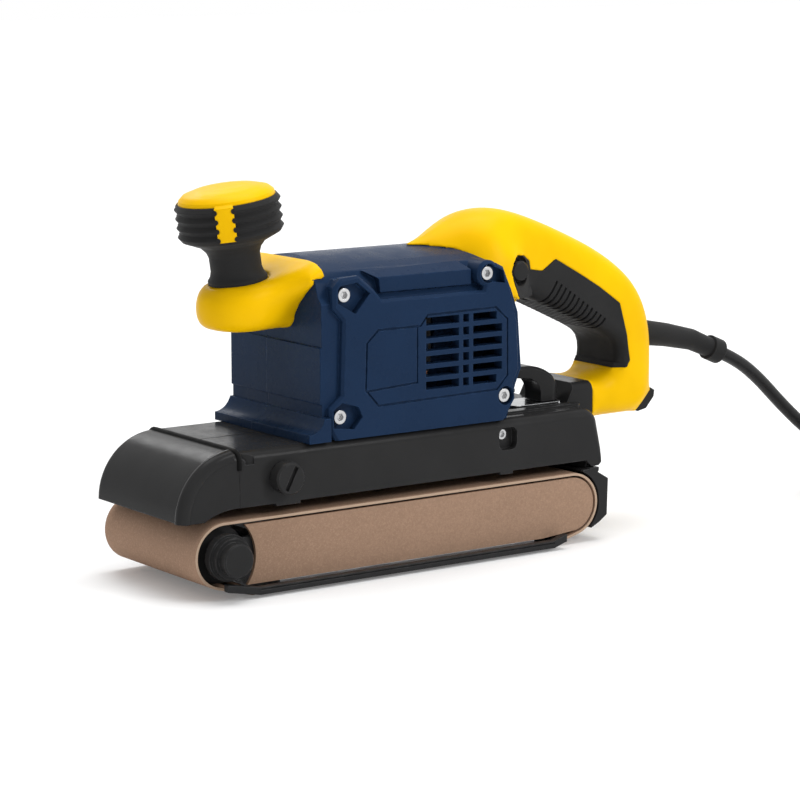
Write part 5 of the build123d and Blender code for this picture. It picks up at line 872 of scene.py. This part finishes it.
class SANDER_OT_stage(bpy.types.Operator):
    """Set up the camera, the pale floor and the studio light"""

    bl_idname = "sander.stage"
    bl_label = "Stage"

    def execute(self, context):
        settings = context.scene.sander_stage
        context.scene.view_settings.view_transform = "Standard"
        self.add_camera(context, settings)
        self.add_floor(context, settings)
        self.add_world(context, settings)
        top = self.add_lamp(context, "top_light", "SUN", settings.sun_strength, TOP_LIGHT_PLACE)
        top.angle = settings.sun_spread
        key = self.add_lamp(context, "key_lamp", "AREA", settings.key_power, KEY_LAMP_PLACE)
        key.size = KEY_LAMP_SIZE
        rim = self.add_lamp(context, "rim_lamp", "AREA", settings.rim_power, RIM_LAMP_PLACE)
        rim.size = RIM_LAMP_SIZE
        return {"FINISHED"}

    def add_camera(self, context, settings):
        """A camera at the photograph's angle."""
        target = Vector(settings.target)
        flat = math.cos(settings.elevation)
        away = Vector((
            math.sin(settings.azimuth) * flat, -math.cos(settings.azimuth) * flat,
            math.sin(settings.elevation),
        ))
        data = bpy.data.cameras.new("camera")
        data.sensor_fit = "HORIZONTAL"
        data.sensor_width = SENSOR_WIDTH
        data.lens = settings.lens
        data.clip_start = NEAREST_SEEN
        data.clip_end = FARTHEST_SEEN
        camera = place_in_scene(context, "camera", data)
        camera.location = target + away * settings.distance
        camera.rotation_euler = (-away).to_track_quat("-Z", "Y").to_euler()
        context.scene.camera = camera

    def add_floor(self, context, settings):
        """A wide floor that is pale in the picture and keeps the shadow."""
        reach = FLOOR_REACH
        mesh = bpy.data.meshes.new("floor")
        mesh.from_pydata(
            [(-reach, -reach, 0.0), (reach, -reach, 0.0), (reach, reach, 0.0), (-reach, reach, 0.0)],
            [], [(0, 1, 2, 3)],
        )
        floor = place_in_scene(context, "floor", mesh)
        material, tree, shader = start_material("pale_floor", specular=FLOOR_SPECULAR)
        shader.inputs["Base Color"].default_value = opaque((settings.floor_tone,) * 3)
        shader.inputs["Roughness"].default_value = FLOOR_ROUGHNESS
        shader.inputs["Emission Color"].default_value = opaque(WHITE)
        lift = calculate(tree, "MULTIPLY", seen_rays(tree), settings.floor_lift)
        feed(tree, shader.inputs["Emission Strength"], lift)
        mesh.materials.append(material)

    def add_world(self, context, settings):
        """Even light from all round, white where it is seen."""
        world = bpy.data.worlds.new("studio")
        context.scene.world = world
        world.use_nodes = True
        tree = world.node_tree
        back = tree.nodes["Background"]
        back.inputs["Color"].default_value = opaque(WHITE)
        level = settings.world_level
        strength = calculate(tree, "MULTIPLY_ADD", seen_rays(tree), 1.0 - level, level)
        feed(tree, back.inputs["Strength"], strength)

    def add_lamp(self, context, name, kind, energy, place):
        """One lamp that looks at the middle of the tool."""
        data = bpy.data.lights.new(name, kind)
        data.energy = energy
        lamp = place_in_scene(context, name, data)
        lamp.location = place
        lamp.rotation_euler = (Vector(LAMP_TARGET) - Vector(place)).to_track_quat("-Z", "Y").to_euler()
        return data


def seen_rays(tree):
    """One for rays that the eye follows: from the camera, by mirror or through glass."""
    seen = node(tree, "ShaderNodeLightPath").outputs
    direct = calculate(tree, "ADD", seen["Is Camera Ray"], seen["Is Glossy Ray"], clamp=True)
    return calculate(tree, "ADD", direct, seen["Is Transmission Ray"], clamp=True)


class SANDER_OT_power_lead(bpy.types.Operator):
    """Lay the lead from its guard to the floor, wind the rest into a tied coil and finish the plug"""

    bl_idname = "sander.power_lead"
    bl_label = "Power lead"

    def execute(self, context):
        sizes = context.scene.sander_lead
        colours = context.scene.sander_colours
        points = list(LEAD_ROUTE) + coil_points(sizes)
        sheath = soft_rubber(
            "lead_sheath", colours.lead_black,
            roughness=0.34, specular=0.14, grain=1800.0, wear_and_highlight=0.0, relief=0.12,
        )
        lead = round_bar_along(context, "power_lead", points, sizes.diameter / 2.0, sheath)
        tie = dress("coil_tie", sheath)
        plug = dress("plug", sheath)
        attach(lead, "frame")
        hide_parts("power_cord", "cord_coil")
        return {"FINISHED"}


class SANDER_OT_motor_housing(bpy.types.Operator):
    """Finish the two halves of the motor housing in navy"""

    bl_idname = "sander.motor_housing"
    bl_label = "Motor housing"

    def execute(self, context):
        colours = context.scene.sander_colours
        # Painted highlight: the navy's edges are lightened to about twice the base.
        shell = moulded_plastic(
            "navy_shell", colours.navy, colours.dust,
            roughness=0.30, rub_and_highlight=2.1, wear_and_highlight=0.8, settled=0.005, specular=0.04,
        )
        dress_all(("motor_housing_left", "motor_housing_right"), shell)
        return {"FINISHED"}


class SANDER_OT_yellow_shells(bpy.types.Operator):
    """Finish the handle, the nose and the knob cap in yellow"""

    bl_idname = "sander.yellow_shells"
    bl_label = "Yellow shells"

    def execute(self, context):
        colours = context.scene.sander_colours
        shell = moulded_plastic(
            "yellow_shell", colours.yellow, colours.dust,
            roughness=0.36, rub_and_highlight=1.06, wear_and_highlight=0.3, settled=0.005, specular=0.05, relief=0.12,
        )
        dress("knob_cap", shell)
        nose = eased_skin(context, ("nose_bracket",), NOSE_GRID, NOSE_NEIGHBOURS, NOSE_PASSES)
        add_skin(context, nose, "nose_bracket", shell)
        handle = eased_skin(context, HANDLE_HALVES, HANDLE_GRID, HANDLE_NEIGHBOURS, HANDLE_PASSES)
        handle = with_bore(context, handle, "lock_button", joint_travel("lock_press"))
        for name, side in zip(HANDLE_HALVES, (-1.0, 1.0)):
            add_skin(context, half_of(handle, name, side), name, shell)
        bpy.data.meshes.remove(handle)
        return {"FINISHED"}


class SANDER_OT_black_shells(bpy.types.Operator):
    """Finish the base, hood, covers, levers and switch parts in charcoal"""

    bl_idname = "sander.black_shells"
    bl_label = "Black shells"

    def execute(self, context):
        colours = context.scene.sander_colours
        # Painted highlight: the charcoal's edges are lightened to about three times the base.
        shell = moulded_plastic(
            "black_shell", colours.charcoal, colours.dust,
            roughness=0.20, rub_and_highlight=3.2, wear_and_highlight=0.8, settled=0.005, specular=0.06, relief=0.12,
        )
        names = (
            "base_housing", "front_hood", "dust_shoe", "drive_cover", "axle_hub", "tracking_knob",
            "release_lever", "trigger", "lock_button", "switch_body", "cooling_fan", "rear_bumper",
            "front_roller",
        )
        dress_all(names, shell)
        self.add_rim(context, shell)
        # The near-black bead in the joint is painted shadow.
        self.add_seam_shadow(context, soft_rubber("seam_shadow_rubber", colours.seam_shadow_black))
        return {"FINISHED"}

    def add_rim(self, context, material):
        """A raised rim along the near shoulder of the hood, from its front edge to the joint."""
        (x1, z1), (x2, z2), (x3, z3) = HOOD_CREST
        rows = np.array(((x2 - x1, z2 - z1), (x3 - x2, z3 - z2)))
        sides = np.array(((x2**2 - x1**2 + z2**2 - z1**2) / 2.0, (x3**2 - x2**2 + z3**2 - z2**2) / 2.0))
        centre = np.linalg.solve(rows, sides)
        radius = math.dist(centre, (x1, z1)) - RIM_SINK
        first = math.atan2(z1 - centre[1], x1 - centre[0]) % math.tau
        last = math.atan2(z3 - centre[1], x3 - centre[0]) % math.tau
        y = RIM_INSET - SHOULDER_Y
        points = [
            (centre[0] + radius * math.cos(turn), y, centre[1] + radius * math.sin(turn))
            for turn in np.linspace(first, first + RIM_SHARE * (last - first), RIM_POINTS)
        ]
        self.add_bead(context, "hood_rim", points, RIM_RADIUS, material, "black_shell")

    def add_seam_shadow(self, context, material):
        """A near-black bead that stands out of the joint of hood and base, over the top and both
        shoulders, as the painted shadow of the joint.
        """
        x, top = HOOD_CREST[2]
        low = top - SEAM_SHADOW_FALL
        points = [(x, -SHOULDER_Y, low), (x, -SHOULDER_Y, low + SEAM_SHADOW_RISE_SHARE * SEAM_SHADOW_FALL)]
        for step in range(SEAM_SHADOW_SHOULDER_STEPS + 1):
            turn = step * math.pi / (2.0 * SEAM_SHADOW_SHOULDER_STEPS)
            points.append((
                x, -SHOULDER_Y + SHOULDER_RADIUS * (1.0 - math.cos(turn)),
                top - SHOULDER_RADIUS * (1.0 - math.sin(turn)),
            ))
        points.append((x, -SEAM_SHADOW_TOP_Y, top))
        points += [(x, -y, z) for x, y, z in reversed(points)]
        self.add_bead(context, "hood_seam_shadow", points, SEAM_SHADOW_RADIUS, material, "soft_rubber")

    def add_bead(self, context, name, points, radius, material, slot):
        """A round bead along a smooth line, fixed to the base."""
        bead = round_bar_along(context, name, points, radius, material)
        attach(bead, "frame")


class SANDER_OT_grips(bpy.types.Operator):
    """Finish the knob grip, the soft grip and the cord guard in matt rubber"""

    bl_idname = "sander.grips"
    bl_label = "Grips"

    def execute(self, context):
        colours = context.scene.sander_colours
        rubber = soft_rubber("soft_rubber", colours.soft_black)
        dress_all(("knob_grip", "soft_grip", "cord_guard"), rubber)
        return {"FINISHED"}


class SANDER_OT_sanding_belt(bpy.types.Operator):
    """Finish the sanding belt, its side plate and the platen's pad"""

    bl_idname = "sander.sanding_belt"
    bl_label = "Sanding belt"

    def execute(self, context):
        colours = context.scene.sander_colours
        dress("sanding_belt", abrasive_cloth("abrasive_cloth", colours.abrasive, colours.belt_edge))
        dress("belt_side_plate", abrasive_cloth("brown_plate", colours.side_plate))
        pad = soft_rubber("cork_pad", colours.cork, roughness=0.8, sheen=0.0, grain=900.0, relief=0.5)
        dress("platen_pad", pad)
        return {"FINISHED"}


class SANDER_OT_metalwork(bpy.types.Operator):
    """Finish the screws, axles, plates, rollers, pulleys and castings"""

    bl_idname = "sander.metalwork"
    bl_label = "Metalwork"

    def execute(self, context):
        colours = context.scene.sander_colours
        steel = drawn_metal("steel", colours.steel, roughness=0.18)
        names = (
            "platen", "pull_rod", "pivot_pin", "front_axle", "drive_shaft", "lever_plate", "drum_bearings",
            "motor_shaft", "motor_bearings", "housing_screws", "drive_cover_screws", "skirt_screw",
            "tracking_screw", "knob_bolt",
        )
        dress_all(names, steel)
        blackened = moulded_plastic(
            "dark_steel", colours.dark_steel, colours.dust,
            roughness=0.38, rub_and_highlight=3.0, wear_and_highlight=0.6, settled=0.0, specular=0.15, relief=0.15, grain=900.0,
        )
        dress_all(("edge_rail", "tension_slide", "axle_carrier"), blackened)
        cast = drawn_metal(
            "aluminium", colours.aluminium, roughness=0.45, spread=LINES_ON_CASTING, relief=0.3
        )
        dress_all(("belt_frame", "drive_drum", "driven_pulley", "motor_pulley"), cast)
        turned = drawn_metal("brass", colours.brass, roughness=0.28, spread=LINES_ALONG_Y)
        dress_all(("roller_bushes", "brush_holders"), turned)
        self.add_spring(context, dress("tension_spring", steel))
        return {"FINISHED"}

    def add_spring(self, context, wire):
        """A copy of the tension spring, fixed to the frame and shown in place of its CAD node."""
        spring = place_in_scene(context, "tension_spring_coil", wire.data.copy())
        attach(spring, "frame")
        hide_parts("tension_spring")
        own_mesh(spring)


class SANDER_OT_motor_parts(bpy.types.Operator):
    """Finish the cores, windings, commutator, brushes and drive rubber"""

    bl_idname = "sander.motor_parts"
    bl_label = "Motor parts"

    def execute(self, context):
        colours = context.scene.sander_colours
        cores = laminated_iron("core_iron", colours.iron)
        dress_all(("stator", "armature"), cores)
        dress("field_windings", enamelled_wire("copper_windings", colours.copper))
        dress("commutator", drawn_metal("copper_bars", colours.copper, spread=LINES_ALONG_Y))
        carbon = soft_rubber("carbon", colours.carbon, roughness=0.6, sheen=0.0, grain=1400.0)
        dress("carbon_brushes", carbon)
        drive = soft_rubber("drum_rubber", colours.soft_black, roughness=0.66, grain=1300.0, relief=0.45)
        dress_all(("drum_sleeve", "toothed_belt"), drive)
        return {"FINISHED"}


class SANDER_PT_panel(bpy.types.Panel):
    """Lists the steps and the values that can be changed"""

    bl_idname = "SANDER_PT_panel"
    bl_label = "Belt sander"
    bl_space_type = "VIEW_3D"
    bl_region_type = "UI"
    bl_category = "Sander"

    def draw(self, context):
        for step in STEPS:
            self.layout.operator(step.bl_idname)
        scene = context.scene
        for settings in (scene.sander_colours, scene.sander_lead, scene.sander_stage):
            box = self.layout.box()
            for key in settings.__annotations__:
                box.prop(settings, key)


STEPS = (
    SANDER_OT_stage,
    SANDER_OT_power_lead,
    SANDER_OT_motor_housing,
    SANDER_OT_yellow_shells,
    SANDER_OT_black_shells,
    SANDER_OT_grips,
    SANDER_OT_sanding_belt,
    SANDER_OT_metalwork,
    SANDER_OT_motor_parts,
)
CLASSES = (SanderColours, SanderLead, SanderStage, *STEPS, SANDER_PT_panel)


def register():
    """Make the settings, steps and panel known."""
    for kind in CLASSES:
        bpy.utils.register_class(kind)
    bpy.types.Scene.sander_colours = bpy.props.PointerProperty(type=SanderColours)
    bpy.types.Scene.sander_lead = bpy.props.PointerProperty(type=SanderLead)
    bpy.types.Scene.sander_stage = bpy.props.PointerProperty(type=SanderStage)


def unregister():
    """Take them away again."""
    del bpy.types.Scene.sander_stage
    del bpy.types.Scene.sander_lead
    del bpy.types.Scene.sander_colours
    for kind in reversed(CLASSES):
        bpy.utils.unregister_class(kind)


def main():
    """Run every step in order."""
    register()
    bpy.ops.sander.stage()
    bpy.ops.sander.power_lead()
    bpy.ops.sander.motor_housing()
    bpy.ops.sander.yellow_shells()
    bpy.ops.sander.black_shells()
    bpy.ops.sander.grips()
    bpy.ops.sander.sanding_belt()
    bpy.ops.sander.metalwork()
    bpy.ops.sander.motor_parts()


if __name__ == "__main__":
    main()
